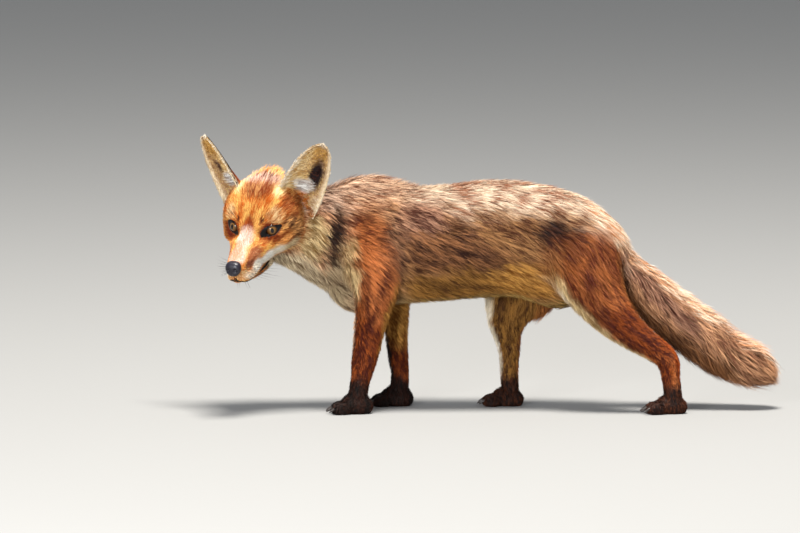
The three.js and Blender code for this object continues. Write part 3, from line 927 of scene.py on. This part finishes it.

# ---- Ears ----
# Tall cupped ears stand up and out. Each is a thin leaf, folded along its length, open forwards and a
# little sideways; its own skin is pinkish inside and nearly black behind.
# The left ear (1) and the right (-1), which is turned further out, both as on the left side. The last
# value is how far the dark hollow inside, whose near black is painted shade, is closed: 0 is open, 1 is shut.
EARS = {
    1: dict(root=(-49, 51, 25), tip=(-67, 91, 106), facing=(0.91, 0.41, 0.04), shaded_hollow=0),
    -1: dict(root=(-49, 51, 25), tip=(-67, 93, 104), facing=(0.78, 0.62, 0.04), shaded_hollow=0.5),
}
EAR_HALF, EAR_CUP, EAR_WALL = 32, 17, 2.2
# The near-black hollow colour is painted shade, where the ear's hollow lies in shade.
EAR_SKIN, HOLLOW_SHADE, EDGE_SKIN, BACK_SKIN = map(paint, ("#a07c5c", "#160808", "#ecd8b4", "#1c120e"))


def ear_axes(hand):
    """An ear's root, its long axis, and unit vectors across it and out of its open side."""
    root, tip, facing = (np.array(EARS[hand][k], float) for k in ("root", "tip", "facing"))
    axis = tip - root
    facing = unit(facing - axis * (facing @ axis) / (axis @ axis))
    return root, axis, unit(np.cross(axis, facing)), facing


def ear_leaf(hand, up, across, back):
    """A place in an ear: up its length (0 to 1), across it (-1 to 1) and back through its wall. The leaf is
    cupped most along its middle and at its root, and narrows to its tip."""
    root, axis, wide, facing = ear_axes(hand)
    up, across, back = np.broadcast_arrays(up, across, back)
    half = EAR_HALF * (1 - np.maximum(0, up) ** 2) ** 0.52
    cup = EAR_CUP * (1 - 0.8 * up) * (1 - across**2)
    return root + up[..., None] * axis + (half * across)[..., None] * wide - (cup + back)[..., None] * facing


EAR_ROWS, EAR_COLUMNS = 34, 25
ear_up = (-0.2 + 1.18 * np.linspace(0, 1, EAR_ROWS) ** 0.9)[:, None]
ear_across = np.linspace(-1, 1, EAR_COLUMNS)
ear_wall = EAR_WALL * (1 - 0.4 * np.maximum(0, ear_up))


def ear_shell(hand):
    """One ear's skin: the grid of its inner and outer face, closed along its rim and at its ends."""
    inner = ear_leaf(hand, ear_up, ear_across, -ear_wall / 2)
    outer = ear_leaf(hand, ear_up, ear_across[::-1], ear_wall / 2)
    rings = np.concatenate([inner, outer], 1)
    tips = np.stack([rings[0].mean(0), ear_leaf(hand, np.array(0.995), np.array(0.0), np.array(0.0))])
    points, faces = closed_rings(rings, tips)
    return head_to_body(mirrored(points, hand)), [face[::-1] for face in faces] if hand > 0 else faces


ears = [ear_shell(hand) for hand in (1, -1)]
pale = np.clip((np.abs(ear_across) - 0.78) / 0.14, 0, 1)[None, :, None]
outside = np.tile(BACK_SKIN, (EAR_ROWS, EAR_COLUMNS, 1))
ear_colours = []
for hand in (1, -1):
    # Painted shade: the hollow inside is near black, smaller where it is more closed.
    far = np.hypot((ear_up - 0.44) / 0.34, (ear_across - 0.36) / 0.5) + EARS[hand]["shaded_hollow"]
    inside = EAR_SKIN + np.clip(2.2 - 2.2 * far, 0, 1)[..., None] * (HOLLOW_SHADE - EAR_SKIN)
    inside = inside + pale * (EDGE_SKIN - inside)
    both = np.concatenate([inside, outside], 1).reshape(-1, 3)
    ear_colours.append(np.vstack([both, EAR_SKIN, BACK_SKIN]))

# ---- Lips ----
# Black, bare and a little moist. Their edges are rounded and the skin between them dips into the mouth.
HALF_PROFILE = [(2.3, -0.6), (1.5, 0.6), (0.8, 0.9), (0.2, 0.4)]
LIP_PROFILE = np.array([*HALF_PROFILE, (0, -0.6), *[(-across, rise) for across, rise in HALF_PROFILE[::-1]]])


def nearest(tree, points):
    """The nearest places on a surface, and the outward direction there."""
    found = [tree.find_nearest(p)[:2] for p in map(Vector, points)]
    return np.array([p for p, _ in found]), np.array([n for _, n in found])


def lips():
    """The lips' profile carried along the lip line of both sides. It lies on the skin, and its two halves
    stand apart by the mouth's opening, over a dip as deep as the groove."""
    centre, up = nearest(lip_tree, head_to_body(lip_line[:, :3]))
    along = unit(np.gradient(centre, axis=0))
    over = unit(np.cross(up, along))
    over = over * np.sign(over[:, 2:])
    up = np.cross(along, over) * np.sign((np.cross(along, over) * up).sum(1))[:, None]
    ends = np.sin(np.linspace(0.02, np.pi - 0.02, len(lip_line)))[:, None] ** 0.3
    opening = lip_line[:, 3:]
    spread = LIP_PROFILE[:, 0] * ends + np.sign(LIP_PROFILE[:, 0]) * opening / 2
    rise = LIP_PROFILE[:, 1] * ends - 0.8 * opening * (LIP_PROFILE[:, 0] == 0)
    points = centre[:, None] + over[:, None] * spread[..., None] + up[:, None] * rise[..., None]
    faces = grid_faces(len(lip_line), len(LIP_PROFILE), False)
    first = points[1, 0] - points[0, 0]
    outward = np.cross(first, points[0, 1] - points[0, 0]) @ up[0]
    return points.reshape(-1, 3), (faces if outward > 0 else faces[:, ::-1])


lip_shape = lips()
skin_tree = BVHTree.FromPolygons([Vector(p) for p in skin_points], skin_faces.tolist())


def onto_skin(points):
    """The nearest places on the finished skin, and its outward direction there."""
    return nearest(skin_tree, points)


# ---- Hide ----
# All the bare and haired skin in one piece: body, lids, ears and lips. Under the coat it takes the
# coat's markings, darker; lids and lips are black and a little moist.
hide_parts = [(skin_points, skin_faces.tolist())]
hide_parts += [(points, [list(face) for face in faces]) for points, faces in (*lids, *ears, lip_shape)]
hide_colours = [0.45 * skin_dark + 0.25 * skin_light]
hide_colours += [lid_colours] * 2 + ear_colours + [np.tile(BLACK_SKIN, (len(lip_shape[0]), 1))]
moist_parts = [0, 1, 1, 0.1, 0.1, 0.9]
moist = np.concatenate([np.full(len(part), wet) for part, wet in zip(hide_colours, moist_parts)])
hide_material, hide_shader = coloured_material("hide", 0.8, "coat_colour")
hide_shader.inputs["Specular IOR Level"].default_value = 0.2
wetness = add_node(hide_material, "Attribute", attribute_name="moist")
dull = add_node(hide_material, "MapRange", {"To Min": 0.8, "To Max": 0.42})
connect(
    hide_material,
    (wetness.outputs["Fac"], dull.inputs["Value"]),
    (dull.outputs["Result"], hide_shader.inputs["Roughness"]),
)
grain = add_node(hide_material, "TexNoise", {"Scale": 900})
add_bump(hide_material, hide_shader, grain, "Fac", 0.35, 0.0006)

hide_points, hide_faces = merge(hide_parts)
hide_mesh = mesh_from("skin", hide_points + IN_FRAME, hide_faces)
set_colours(hide_mesh, "coat_colour", np.vstack(hide_colours))
hide_mesh.attributes.new("moist", "FLOAT", "POINT").data.foreach_set("value", moist.astype(np.float32))
flesh_nodes = [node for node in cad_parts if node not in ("eye_left", "eye_right", "nose")]
place_piece("skin", hide_mesh, hide_material, "coat", *flesh_nodes)

# ---- Eyes ----
# Glossy balls with an amber-brown iris, darker at its edge, round an upright oval pupil. The clear front
# bulges. The fox looks a little to its left.
IRIS_RADIUS, EYE_BULGE = 7.8, 0.55
eye_material, eye_shader = new_material("eye", 0.04)
eye_shader.inputs["Specular IOR Level"].default_value = 0.35
iris_place = add_node(eye_material, "UVMap", uv_map="iris")
from_middle = add_node(eye_material, "VectorMath", {1: (0.5, 0.5, 0)}, operation="SUBTRACT")
far = add_node(eye_material, "VectorMath", operation="LENGTH")
iris_ramp = add_node(eye_material, "ValToRGB")
ramp = iris_ramp.color_ramp.elements
for end, position, colour in ((ramp[0], 0.1, "#6e4e24"), (ramp[1], 0.265, "#120b08")):
    end.color = (*paint(colour), 1)
    end.position = position
for position, colour in ((0.15, "#60401a"), (0.2, "#46290f"), (0.24, "#1c0f08")):
    ramp.new(position).color = (*paint(colour), 1)
squeeze = add_node(eye_material, "VectorMath", {1: (1.6, 1.0, 1.0)}, operation="MULTIPLY")
pupil_far = add_node(eye_material, "VectorMath", operation="LENGTH")
pupil = add_node(eye_material, "MapRange", {"From Min": 0.105, "From Max": 0.12})
fibres = add_node(eye_material, "TexNoise", {"Scale": 60})
fibre_mix = add_node(eye_material, "Mix", {"Factor": 0.6}, data_type="RGBA", blend_type="OVERLAY")
pupil_mix = add_node(eye_material, "Mix", {"A": (0.003, 0.003, 0.004, 1)}, data_type="RGBA")
connect(
    eye_material,
    (iris_place.outputs["UV"], from_middle.inputs[0]),
    (from_middle.outputs["Vector"], far.inputs[0]),
    (from_middle.outputs["Vector"], squeeze.inputs[0]),
    (squeeze.outputs["Vector"], pupil_far.inputs[0]),
    (pupil_far.outputs["Value"], pupil.inputs["Value"]),
    (far.outputs["Value"], iris_ramp.inputs["Fac"]),
    (iris_place.outputs["UV"], fibres.inputs["Vector"]),
    (iris_ramp.outputs["Color"], fibre_mix.inputs["A"]),
    (fibres.outputs["Fac"], fibre_mix.inputs["B"]),
    (fibre_mix.outputs["Result"], pupil_mix.inputs["B"]),
    (pupil.outputs["Result"], pupil_mix.inputs["Factor"]),
    (pupil_mix.outputs["Result"], eye_shader.inputs["Base Color"]),
)


def eyeball(hand, side):
    """A ball whose pole is the middle of the iris; its clear front bulges by half a millimetre."""
    look = mirrored(unit(np.array(EYES[hand]["look"])), hand)
    level = unit(np.cross(UP, look))
    polar = np.linspace(0.02, np.pi - 0.02, 40)[:, None]
    angle = np.linspace(0, 2 * np.pi, 48, endpoint=False)
    bulge = EYE_BULGE * np.exp(-((polar / 0.62) ** 4))
    x, y, z = np.sin(polar) * np.cos(angle), np.sin(polar) * np.sin(angle), np.cos(polar) + 0 * angle
    ball = x[..., None] * level + y[..., None] * np.cross(look, level) + z[..., None] * look
    ball = ball * (EYE_RADIUS + bulge)[..., None]
    middle = mirrored(np.array(EYES[hand]["at"]), hand)
    poles = np.stack([look * (EYE_RADIUS + EYE_BULGE), -look * EYE_RADIUS])
    points, faces = closed_rings(middle + ball, middle + poles)
    mesh = mesh_from(f"eyeball_{side}", head_to_body(points) + IN_FRAME, faces)
    flat = np.vstack([np.stack([x, y], 2).reshape(-1, 2), [[0, 0], [0, 0]]])
    flat = flat * EYE_RADIUS / IRIS_RADIUS * 0.25 + 0.5
    flat[np.r_[(z < 0).ravel(), False, True]] = (0.99, 0.99)
    corner = np.empty(len(mesh.loops), np.int32)
    mesh.loops.foreach_get("vertex_index", corner)
    mesh.uv_layers.new(name="iris").data.foreach_set("uv", flat[corner].astype(np.float32).ravel())
    place_piece(f"eyeball_{side}", mesh, eye_material, "eye", f"eye_{side}")


eyeball(1, "left")
eyeball(-1, "right")

# ---- Nose ----
# A bare, finely pebbled black pad over the front of the muzzle. Two comma-shaped nostrils open to the
# sides, and a groove runs down its middle to the lip.
NOSE_AT, NOSE_HALF = np.array([77.6, 0, -25]), np.array([7.6, 11.2, 10.5])


def nose_pad():
    """A rounded box from a ball's directions, narrowed below, with the nostrils and groove pressed back."""
    polar = np.linspace(0.03, np.pi - 0.03, 60)[:, None]
    angle = np.linspace(0, 2 * np.pi, 80, endpoint=False)
    ring = np.sin(polar)
    ball = np.stack([np.cos(polar) + 0 * angle, ring * np.cos(angle), ring * np.sin(angle)], -1)
    ball = np.concatenate([ball.reshape(-1, 3), [[1, 0, 0], [-1, 0, 0]]])
    place = np.sign(ball) * np.abs(ball) ** 0.72 * NOSE_HALF
    x, y, z = place.T
    y = y * (1 - 0.3 * np.clip(-z / NOSE_HALF[2], 0, 1) ** 1.5)
    front = np.clip(x / NOSE_HALF[0], 0, 1) ** 0.5
    hole = 3.6 * np.exp(-(((np.abs(y) - 4.6) / 2.1) ** 2) - (((z - 0.6) / 2.2) ** 2))
    slit = 2.4 * np.exp(-(((np.abs(y) - 8.2) / 2.6) ** 2) - (((z + 2.2) / 1.3) ** 2))
    groove = 0.8 * np.exp(-((y / 0.7) ** 2)) * (z < 3)
    x = x - front * (hole + groove) - slit * np.clip(0.4 + x / NOSE_HALF[0], 0, 1)
    x = x - 0.18 * np.clip(z, 0, None)
    points = np.stack([x, y, z], 1) + NOSE_AT
    return closed_rings(points[:-2].reshape(60, 80, 3), points[-2:])


nose_material, nose_shader = new_material("nose leather", 0.36, paint("#17131f"))
nose_shader.inputs["Specular IOR Level"].default_value = 0.5
pebbles = add_node(nose_material, "TexVoronoi", {"Scale": 1100})
add_bump(nose_material, nose_shader, pebbles, "Distance", 0.42, 0.0003)
nose_points, nose_faces = nose_pad()
nose_mesh = mesh_from("nose_pad", head_to_body(nose_points) + IN_FRAME, nose_faces)
place_piece("nose_pad", nose_mesh, nose_material, "nose", "nose")

# ---- Coat ----
# Underfur and guard hairs grow in locks: five to ten tapered hairs whose tips draw together, lying back
# over the next ones. Each hair is a thin blade, and each lock keeps one tone between dark and light.
coat_material, coat_shader = coloured_material("coat", 0.6, "coat_colour")
coat_shader.inputs["Specular IOR Level"].default_value = 0.12
MOST_TRIANGLES = 198_000  # in one piece of coat
PATCH = 0.003  # how far one lock reaches on the unwrap


def hair_piece(name, slot, rng, locks, spacing, blades, width, steps=2):
    """One mesh of blades from locks: where each lock is rooted, where its middle and tip come to, the
    surface's outward direction at all three, its hair's rise, length, colours and tone, and its place on
    the unwrap. A lock's hairs are spread over its root and draw together to its tip."""
    many = len(locks["root"])
    blades = min(blades, int(MOST_TRIANGLES / (many * (2 * steps - 1))))
    count = many * blades
    places = ("root", "up", "middle", "middle_up", "tip", "tip_up", "flow")
    root, up, middle, middle_up, tip, tip_up, flow = (np.repeat(locks[k], blades, axis=0) for k in places)
    long, rise, tone = (np.repeat(locks[k], blades)[:, None] for k in ("long", "rise", "tone"))
    dark, light, here = (np.repeat(locks[k], blades, axis=0) for k in ("dark", "light", "unwrap"))
    start = rng.normal(0, 0.42 * spacing, (count, 2, 1))
    stray = rng.normal(0, 1, (count, 2, 1))
    reach = rng.uniform(0.62, 1.08, (count, 1))
    rise = rise * rng.uniform(0.45, 1.12, (count, 1))
    across = np.cross(flow, up)
    bottom = root + start[:, 0] * across + start[:, 1] * flow - 0.5 * up
    centre = bottom + reach * (middle - root) + 0.7 * rise * middle_up - 0.25 * start[:, 0] * across
    end = (root + start[:, 1] * flow + reach * (tip - root) + rise * tip_up
           + (0.3 * start[:, 0] + 0.03 * long * stray[:, 0]) * across + 0.03 * long * stray[:, 1] * tip_up)
    bend = 2 * centre - (bottom + end) / 2
    place = np.arange(steps + 1) / steps
    path = ((1 - place)[:, None] ** 2 * bottom[:, None] + 2 * (place * (1 - place))[:, None] * bend[:, None]
            + place[:, None] ** 2 * end[:, None])
    roll = rng.normal(0, 0.5, (count, 1))
    flat = unit(np.cos(roll) * across + np.sin(roll) * up)
    wide = width * rng.uniform(0.7, 1.3, (count, 1, 1)) * np.array([1.0, 0.85, 0.6])[:steps, None] / 2
    left = path[:, :steps] - flat[:, None] * wide
    right = path[:, :steps] + flat[:, None] * wide
    points = np.concatenate([np.stack([left, right], 2).reshape(count, -1, 3), path[:, steps:]], 1)
    points[..., 2] = np.maximum(points[..., 2], 0.3)

    corners = 2 * steps + 1
    strip = []
    for k in range(0, 2 * steps - 2, 2):
        strip += [(k, k + 1, k + 3), (k, k + 3, k + 2)]
    strip = np.array(strip + [(2 * steps - 2, 2 * steps - 1, 2 * steps)])
    corner = (np.arange(count)[:, None, None] * corners + strip).ravel().astype(np.int32)
    mesh = bpy.data.meshes.new(name)
    mesh.vertices.add(count * corners)
    mesh.vertices.foreach_set("co", ((points + IN_FRAME) * TO_METRES).astype(np.float32).ravel())
    mesh.loops.add(len(corner))
    mesh.loops.foreach_set("vertex_index", corner)
    mesh.polygons.add(len(corner) // 3)
    mesh.polygons.foreach_set("loop_start", np.arange(0, len(corner), 3, dtype=np.int32))
    mesh.update(calc_edges=True)

    mix = np.clip(tone + rng.normal(0, 0.14, (count, 1)), 0, 1)
    colour = (dark * (1 - mix) + light * mix) * rng.uniform(0.86, 1.12, (count, 1))
    dusky = np.where(rng.random((count, 1)) < 0.25, 0.6, 1.04)
    shades = [0.42 + 0.58 * min(1, t / 0.6) for t in place[:-1]]
    along = np.stack([colour * s for s in np.repeat(shades, 2)] + [colour * dusky], 1)
    set_colours(mesh, "coat_colour", along.reshape(-1, 3))

    sideways = np.tile(np.linspace(-PATCH / 2, PATCH / 2, max(blades, 2))[:blades], many)
    lengthways = np.r_[np.repeat(place[:-1], 2), 1] * PATCH - PATCH / 2
    patch = np.stack([np.broadcast_to(sideways[:, None], (count, corners)),
                      np.broadcast_to(lengthways, (count, corners))], 2) + here[:, None]
    layer = mesh.uv_layers.new(name="OFBake")
    layer.data.foreach_set("uv", patch.reshape(-1, 2)[corner].astype(np.float32).ravel())
    place_piece(name, mesh, coat_material, slot)


STREAK = np.array([26, 3.2])  # how long and how wide a streak of one tone is


def streak_tone(coat, number):
    """Light and dark streaks that run with the hair of one line: random values that change slowly along the
    line, and quickly across it once the hair's hang is taken off."""
    name = LINE_NAMES[number]
    centre, _, _, _, rows = SAMPLED[name]
    hang = LINES[name][2]
    forth = coat["share"][number] * np.linalg.norm(np.diff(centre, axis=0), axis=1).sum()
    turn = coat["turn"][number]
    down = np.abs(turn) * np.pi * rows[:, 3:6].mean() - hang * forth * np.sin(np.pi * np.abs(turn))
    value = mottle(np.stack([forth / STREAK[0], down / STREAK[1], 9 * np.sign(turn)], 1), 1, 13)
    return 0.5 + 1.4 * (value - 0.5)


def lay_coat(name, slot, faces, line, spacing, blades, width, steps=2, bare=None):
    """Locks of hair over some of the skin's faces. One lock is rooted in each cell of a grid `spacing`
    wide; its hairs follow the skin for the hair's length while they rise to the coat's depth."""
    rng = np.random.default_rng(len(name) * 1009 + sum(map(ord, name)))
    a, b, c, d = (skin_points[skin_faces[faces, k]] for k in range(4))
    area = np.linalg.norm(np.cross(c - a, d - b), axis=1) / 2
    many = int(area.sum() / spacing**2 * 8)
    pick = np.searchsorted(np.cumsum(area), (np.arange(many) + rng.random(many)) / many * area.sum())
    pick = np.minimum(pick, len(faces) - 1)
    u, v = rng.random((2, many, 1))
    root = (1 - v) * ((1 - u) * a[pick] + u * b[pick]) + v * ((1 - u) * d[pick] + u * c[pick])
    cell = np.floor(root / spacing + rng.random(3) + 1000).astype(np.int64)
    root = root[np.unique(cell @ np.array([1, 1 << 14, 1 << 28]), return_index=True)[1]]
    root, up = onto_skin(root)
    if bare is not None:
        keep = ~bare(body_to_head(root))
        root, up = root[keep], up[keep]
    coat = read_coat(root, up)
    sway = (mottle(root, 22, 7) - 0.5)[:, None] * 0.6 + rng.normal(0, 0.12, (len(root), 1))
    flow = unit(coat["flow"] + sway * np.cross(up, coat["flow"]))
    long = coat["hair"] * rng.uniform(0.8, 1.15, len(root))
    middle, middle_up = onto_skin(root + flow * long[:, None] / 2)
    onward = read_coat(middle, middle_up)["flow"]
    onward = unit(onward + 0.7 * sway * np.cross(middle_up, onward))
    tip, tip_up = onto_skin(middle + onward * long[:, None] / 2)
    dark, light = markings(tip, read_coat(tip, tip_up))
    line_number = LINE_NAMES.index(line)
    tone = streak_tone(coat, line_number) + 0.6 * (mottle(root, 6, 11) - 0.5)
    tone = np.clip(tone + 0.9 * (rng.random(len(root)) - 0.5), 0, 1)
    unwrap = np.stack([coat["share"][line_number], 0.5 + coat["turn"][line_number] / 2], 1) * 0.96 + 0.02
    locks = dict(root=root, up=up, middle=middle, middle_up=middle_up, tip=tip, tip_up=tip_up, flow=flow,
                 long=long, rise=coat["coat"], tone=tone, dark=dark, light=light, unwrap=unwrap)
    hair_piece(name, slot, rng, locks, spacing, blades, width, steps)


face_middle = skin_points[skin_faces].mean(1)
face_owner = skin_coat["weight"][:, skin_faces].mean(2).argmax(0)
owned = {name: face_owner == k for k, name in enumerate(LINE_NAMES)}
HALFWAY = -20  # where the trunk's coat is parted fore and aft
for where, chosen in (("fore", face_middle[:, 0] < HALFWAY), ("rear", face_middle[:, 0] >= HALFWAY)):
    for hand, chosen_side in (("left", face_middle[:, 1] < 0), ("right", face_middle[:, 1] >= 0)):
        faces = np.flatnonzero(owned["trunk"] & chosen & chosen_side)
        lay_coat(f"coat_trunk_{where}_{hand}", "coat", faces, "trunk", 3.3, 8, 0.85)
lay_coat("coat_neck", "coat", np.flatnonzero(owned["neck"]), "neck", 3.2, 9, 0.8)
lay_coat("coat_tail", "brush", np.flatnonzero(owned["tail"]), "tail", 3.4, 10, 1.0, 3)
for name in LEGS:
    lay_coat(f"coat_{name}", "coat", np.flatnonzero(owned[name]), name, 2.8, 7, 0.7)


def bare_places(head):
    """Where the head has no hair: the nose pad, the black round the eyes, and the lips."""
    bare = nearness(head, NOSE_AT, NOSE_HALF + 3) > 0.1
    for hand in (1, -1):
        along, over, outward = eye_coordinates(head, hand)
        bare |= (within(EYES[hand]["rim"], along, over) < 1.02) & (outward > -4)
    gap = ((head[:, None] - lip_line[:, :3]) ** 2).sum(2)
    return bare | (gap.min(1) < (2.0 + lip_line[gap.argmin(1), 3] / 2) ** 2)


forward = body_to_head(face_middle)[:, 0]
FACE_BEHIND = -14  # where the face's coat meets the rest of the head's
face_faces = np.flatnonzero(owned["skull"] & (forward > FACE_BEHIND))
rest_faces = np.flatnonzero(owned["skull"] & (forward <= FACE_BEHIND))
lay_coat("coat_face", "face", face_faces, "skull", 1.7, 5, 0.45, 2, bare_places)
lay_coat("coat_head", "coat", rest_faces, "skull", 2.3, 7, 0.55, 2, bare_places)

# ---- Hair of the ears ----
# Inside, hair grows from the inner edge outwards, longest and whitest over the lower middle; a dark
# hollow lies nearly bare behind it, its darkness painted shade. Cream velvet edges the ear. Its back is
# short blackish velvet, russet at the root.
EAR_MARKS = {  # up the ear, across it; their reach; darkest and lightest hair
    "inside": [
        ((0.5, 0), (9, 9), "#a07844", "#f4daa4"),
        ((0.5, -0.75), (0.5, 0.4), "#c09a5c", "#fcecc4"),
        ((0.85, 0.2), (0.2, 0.9), "#a67e3e", "#ecc886"),
        # painted shade: dark hair over the ear's hollow
        ((0.46, 0.38), (0.3, 0.42), "#1c0c0a", "#5c3a30"),
        ((0.2, -0.15), (0.13, 0.5), "#9a8a80", "#fffdf8"),
        ((-0.04, -0.2), (0.14, 0.9), "#6e3806", "#cc7820"),
        ((0.02, 0.92), (0.14, 0.3), "#a88c64", "#f2e2c6"),
        ((-0.16, 0.3), (0.12, 1.2), "#7a4216", "#d08a40"),
    ],
    "back": [
        ((0.5, 0), (9, 9), "#0e0807", "#3e261a"),
        ((0.02, 0), (0.3, 2), "#8e4418", "#ea9650"),
    ],
}
EAR_RIM = "#e0c494", "#fffaf0"


def ear_coat(hand, side, face, spacing, blades, width):
    """One face of one ear: locks at even places up and across it, swept up and outwards."""
    rng = np.random.default_rng(7 + hand + len(face))
    rows, columns = int(132 / spacing), int(60 / spacing)
    rising, crossing = np.linspace(-0.2, 0.975, rows), np.linspace(-0.985, 0.985, columns)
    up, across = np.meshgrid(rising, crossing, indexing="ij")
    up = up.ravel() + rng.uniform(-0.5, 0.5, up.size) / rows
    across = np.clip(across.ravel() + rng.uniform(-1, 1, across.size) / columns, -1, 1)
    if face == "inside":  # few hairs grow in the hollow
        bare = np.hypot((up - 0.46) / 0.25, (across - 0.38) / 0.36) + EARS[hand]["shaded_hollow"] < 1
        keep = ~bare | (rng.random(up.size) < 0.25)
        up, across = up[keep], across[keep]
    outward = 1 if face == "inside" else -1
    _, axis, wide, facing = ear_axes(hand)
    wall = -outward * EAR_WALL * (1 - 0.4 * np.maximum(0, up)) / 2
    at = ear_leaf(hand, up, across, wall)
    beside, above = ear_leaf(hand, up, across + 0.01, wall) - at, ear_leaf(hand, up + 0.01, across, wall) - at
    away = np.cross(beside, above)
    away = unit(away) * np.sign(away @ facing)[:, None] * outward

    edge = np.clip((np.abs(across) - 0.78) / 0.2, 0, 1) + np.clip((up - 0.9) / 0.08, 0, 1)
    edge = np.clip(edge, 0, 1)
    if face == "inside":
        white = nearness(np.stack([up, across, 0 * up], 1), (0.2, -0.2, 0), (0.2, 0.75, 1))
        inner = np.clip(-across - 0.1, 0, 1) * np.clip(1.1 - up, 0, 1)
        low = np.clip(0.02 - up, 0, 1)
        lateral, climb = np.where(across > 0.45, -0.5, 1.0), np.clip(0.1 + 1.3 * up, 0.1, 1)
        long, rise = 4 + 9 * inner + 14 * white + 18 * low, 1.4 + 3 * white + inner + 12 * low
    else:
        low = np.clip(0.3 - up, 0, 0.5)
        lateral, climb = across * 0.5, np.ones(len(up))
        long, rise = 5 + 16 * low, 1.1 + 7 * low
    long = long * (1 - 0.45 * edge) * rng.uniform(0.8, 1.2, len(up))
    step = unit(lateral[:, None] * wide + climb[:, None] * unit(axis) * (1 + 2 * edge[:, None]))
    flow = unit(step - away * (step * away).sum(1)[:, None])

    ragged = (mottle(at, 6, 5) - 0.5) * 0.5
    dark, light = np.zeros((2, len(up), 3))
    for place, reach, *colours in EAR_MARKS[face]:
        far = np.hypot((up - place[0]) / reach[0], (across - place[1]) / reach[1])
        part = fade(far + ragged + EARS[hand]["shaded_hollow"] * (place[1] > 0.3))[:, None]
        dark, light = (was + part * (hair_colour(code) - was) for was, code in zip((dark, light), colours))
    rim = (edge * np.clip(6 * up + 1, 0, 1))[:, None]
    dark, light = (was + rim * (hair_colour(code) - was) for was, code in zip((dark, light), EAR_RIM))
    tone = np.clip(0.5 + 1.1 * (mottle(at, 4, 11) - 0.5) + 0.9 * (rng.random(len(up)) - 0.5), 0, 1)
    unwrap = np.stack([0.25 + across / 4.4 + (face == "back") / 2, 0.05 + 0.9 * np.clip(up, 0, 1)], 1)
    half_way, tip = at + flow * long[:, None] / 2, at + flow * long[:, None]
    root, middle, tip = (head_to_body(mirrored(p, hand)) for p in (at, half_way, tip))
    away, flow = (mirrored(v, hand) @ HEAD_AXES.T for v in (away, flow))
    locks = dict(root=root, up=away, middle=middle, middle_up=away, tip=tip, tip_up=away, flow=flow,
                 long=long, rise=rise, tone=tone, dark=dark, light=light, unwrap=unwrap)
    hair_piece(f"coat_ear_{side}_{face}", "ear", rng, locks, spacing, blades, width)


for hand, side in ((1, "left"), (-1, "right")):
    ear_coat(hand, side, "inside", 2.1, 8, 0.5)
    ear_coat(hand, side, "back", 2.1, 7, 0.55)

# ---- Claws ----
# Four blunt, dark, slightly hooked claws stand ahead of each paw's toes.
claw_material = new_material("claw", 0.4, paint("#2a211c"))[0]


def hooked_claw(long, thick, rows=9, sides=10):
    """A taper along -X from the toe whose tip curves down: its rings shrink as a quarter circle would."""
    share = np.linspace(0, 1, rows)[:, None]
    angle = np.linspace(0, 2 * np.pi, sides, endpoint=False)
    radius = thick * (1 - share**2) ** 0.6 * 0.96 + 0.04 * thick
    high = radius * np.sin(angle) - 0.28 * long * share**2
    rings = np.stack([-long * share + 0 * angle, 0.8 * radius * np.cos(angle), high], 2)
    return closed_rings(rings[:, ::-1], np.stack([rings[0].mean(0), rings[-1].mean(0)]))


for name, (x, y, long, wide, high, turn) in PAWS.items():
    claws = []
    for toe in PAW_TOES:
        points, faces = hooked_claw(11, 2.3)
        points = points @ turned(0, -14, -7 * toe).T + (-toe_reach(toe, long) - 9.5, toe * wide * 0.54, 9)
        claws.append((points @ turned(0, 0, turn).T + (x, y, 0), faces))
    claw_points, claw_faces = merge(claws)
    claw_points[:, 2] = np.maximum(claw_points[:, 2], 0.2)
    mesh = mesh_from(f"claws_{name}", claw_points + IN_FRAME, claw_faces)
    place_piece(f"claws_{name}", mesh, claw_material, "claw")

# ---- Whiskers ----
# Stiff dark hairs curve back from rows of spots on each side of the muzzle, with a few over each eye and
# under the chin.
whisker_material = new_material("whisker", 0.4, paint("#241c18"))[0]
WHISKERS = [  # root and way, forward, out and up; length
    *[((64 - 6.5 * k, 13 + 0.9 * k, -30 - 5 * row - 0.8 * k), (-0.35 - 0.12 * k, 0.95, -0.25 - 0.2 * row),
       26 + 6 * k - 3 * row) for row in range(3) for k in range(4)],
    *[((14 - 4 * k, 20 + 2 * k, 19), (0.1, 0.55, 0.85), 22) for k in range(2)],
    *[((58 - 8 * k, 5, -58), (-0.1, 0.2, -1), 17) for k in range(2)],
]


def whisker(root, way, long, rows=9, sides=5):
    """A thin round taper along an arc that bends backwards."""
    share = np.linspace(0, 1, rows)[:, None]
    centre = root + unit(np.array(way)) * long * share + np.array([-0.35, -0.1, -0.12]) * long * share**2
    _, across, deep = line_axes(centre)
    angle = np.linspace(0, 2 * np.pi, sides, endpoint=False)[:, None]
    radius = 0.24 * (1.06 - share)
    around = np.cos(angle) * across[:, None] + np.sin(angle) * deep[:, None]
    rings = centre[:, None] + radius[..., None] * around
    return closed_rings(rings, centre[[0, -1]])


whiskers = []
for hand in (1, -1):
    for root, way, long in WHISKERS:
        start = body_to_head(onto_skin(head_to_body(mirrored(np.array([root], float), hand)))[0])[0]
        points, faces = whisker(start, mirrored(np.array(way), hand), long)
        whiskers.append((head_to_body(points), faces))
whisker_points, whisker_faces = merge(whiskers)
whisker_mesh = mesh_from("whiskers", whisker_points + IN_FRAME, whisker_faces)
place_piece("whiskers", whisker_mesh, whisker_material, "whisker")
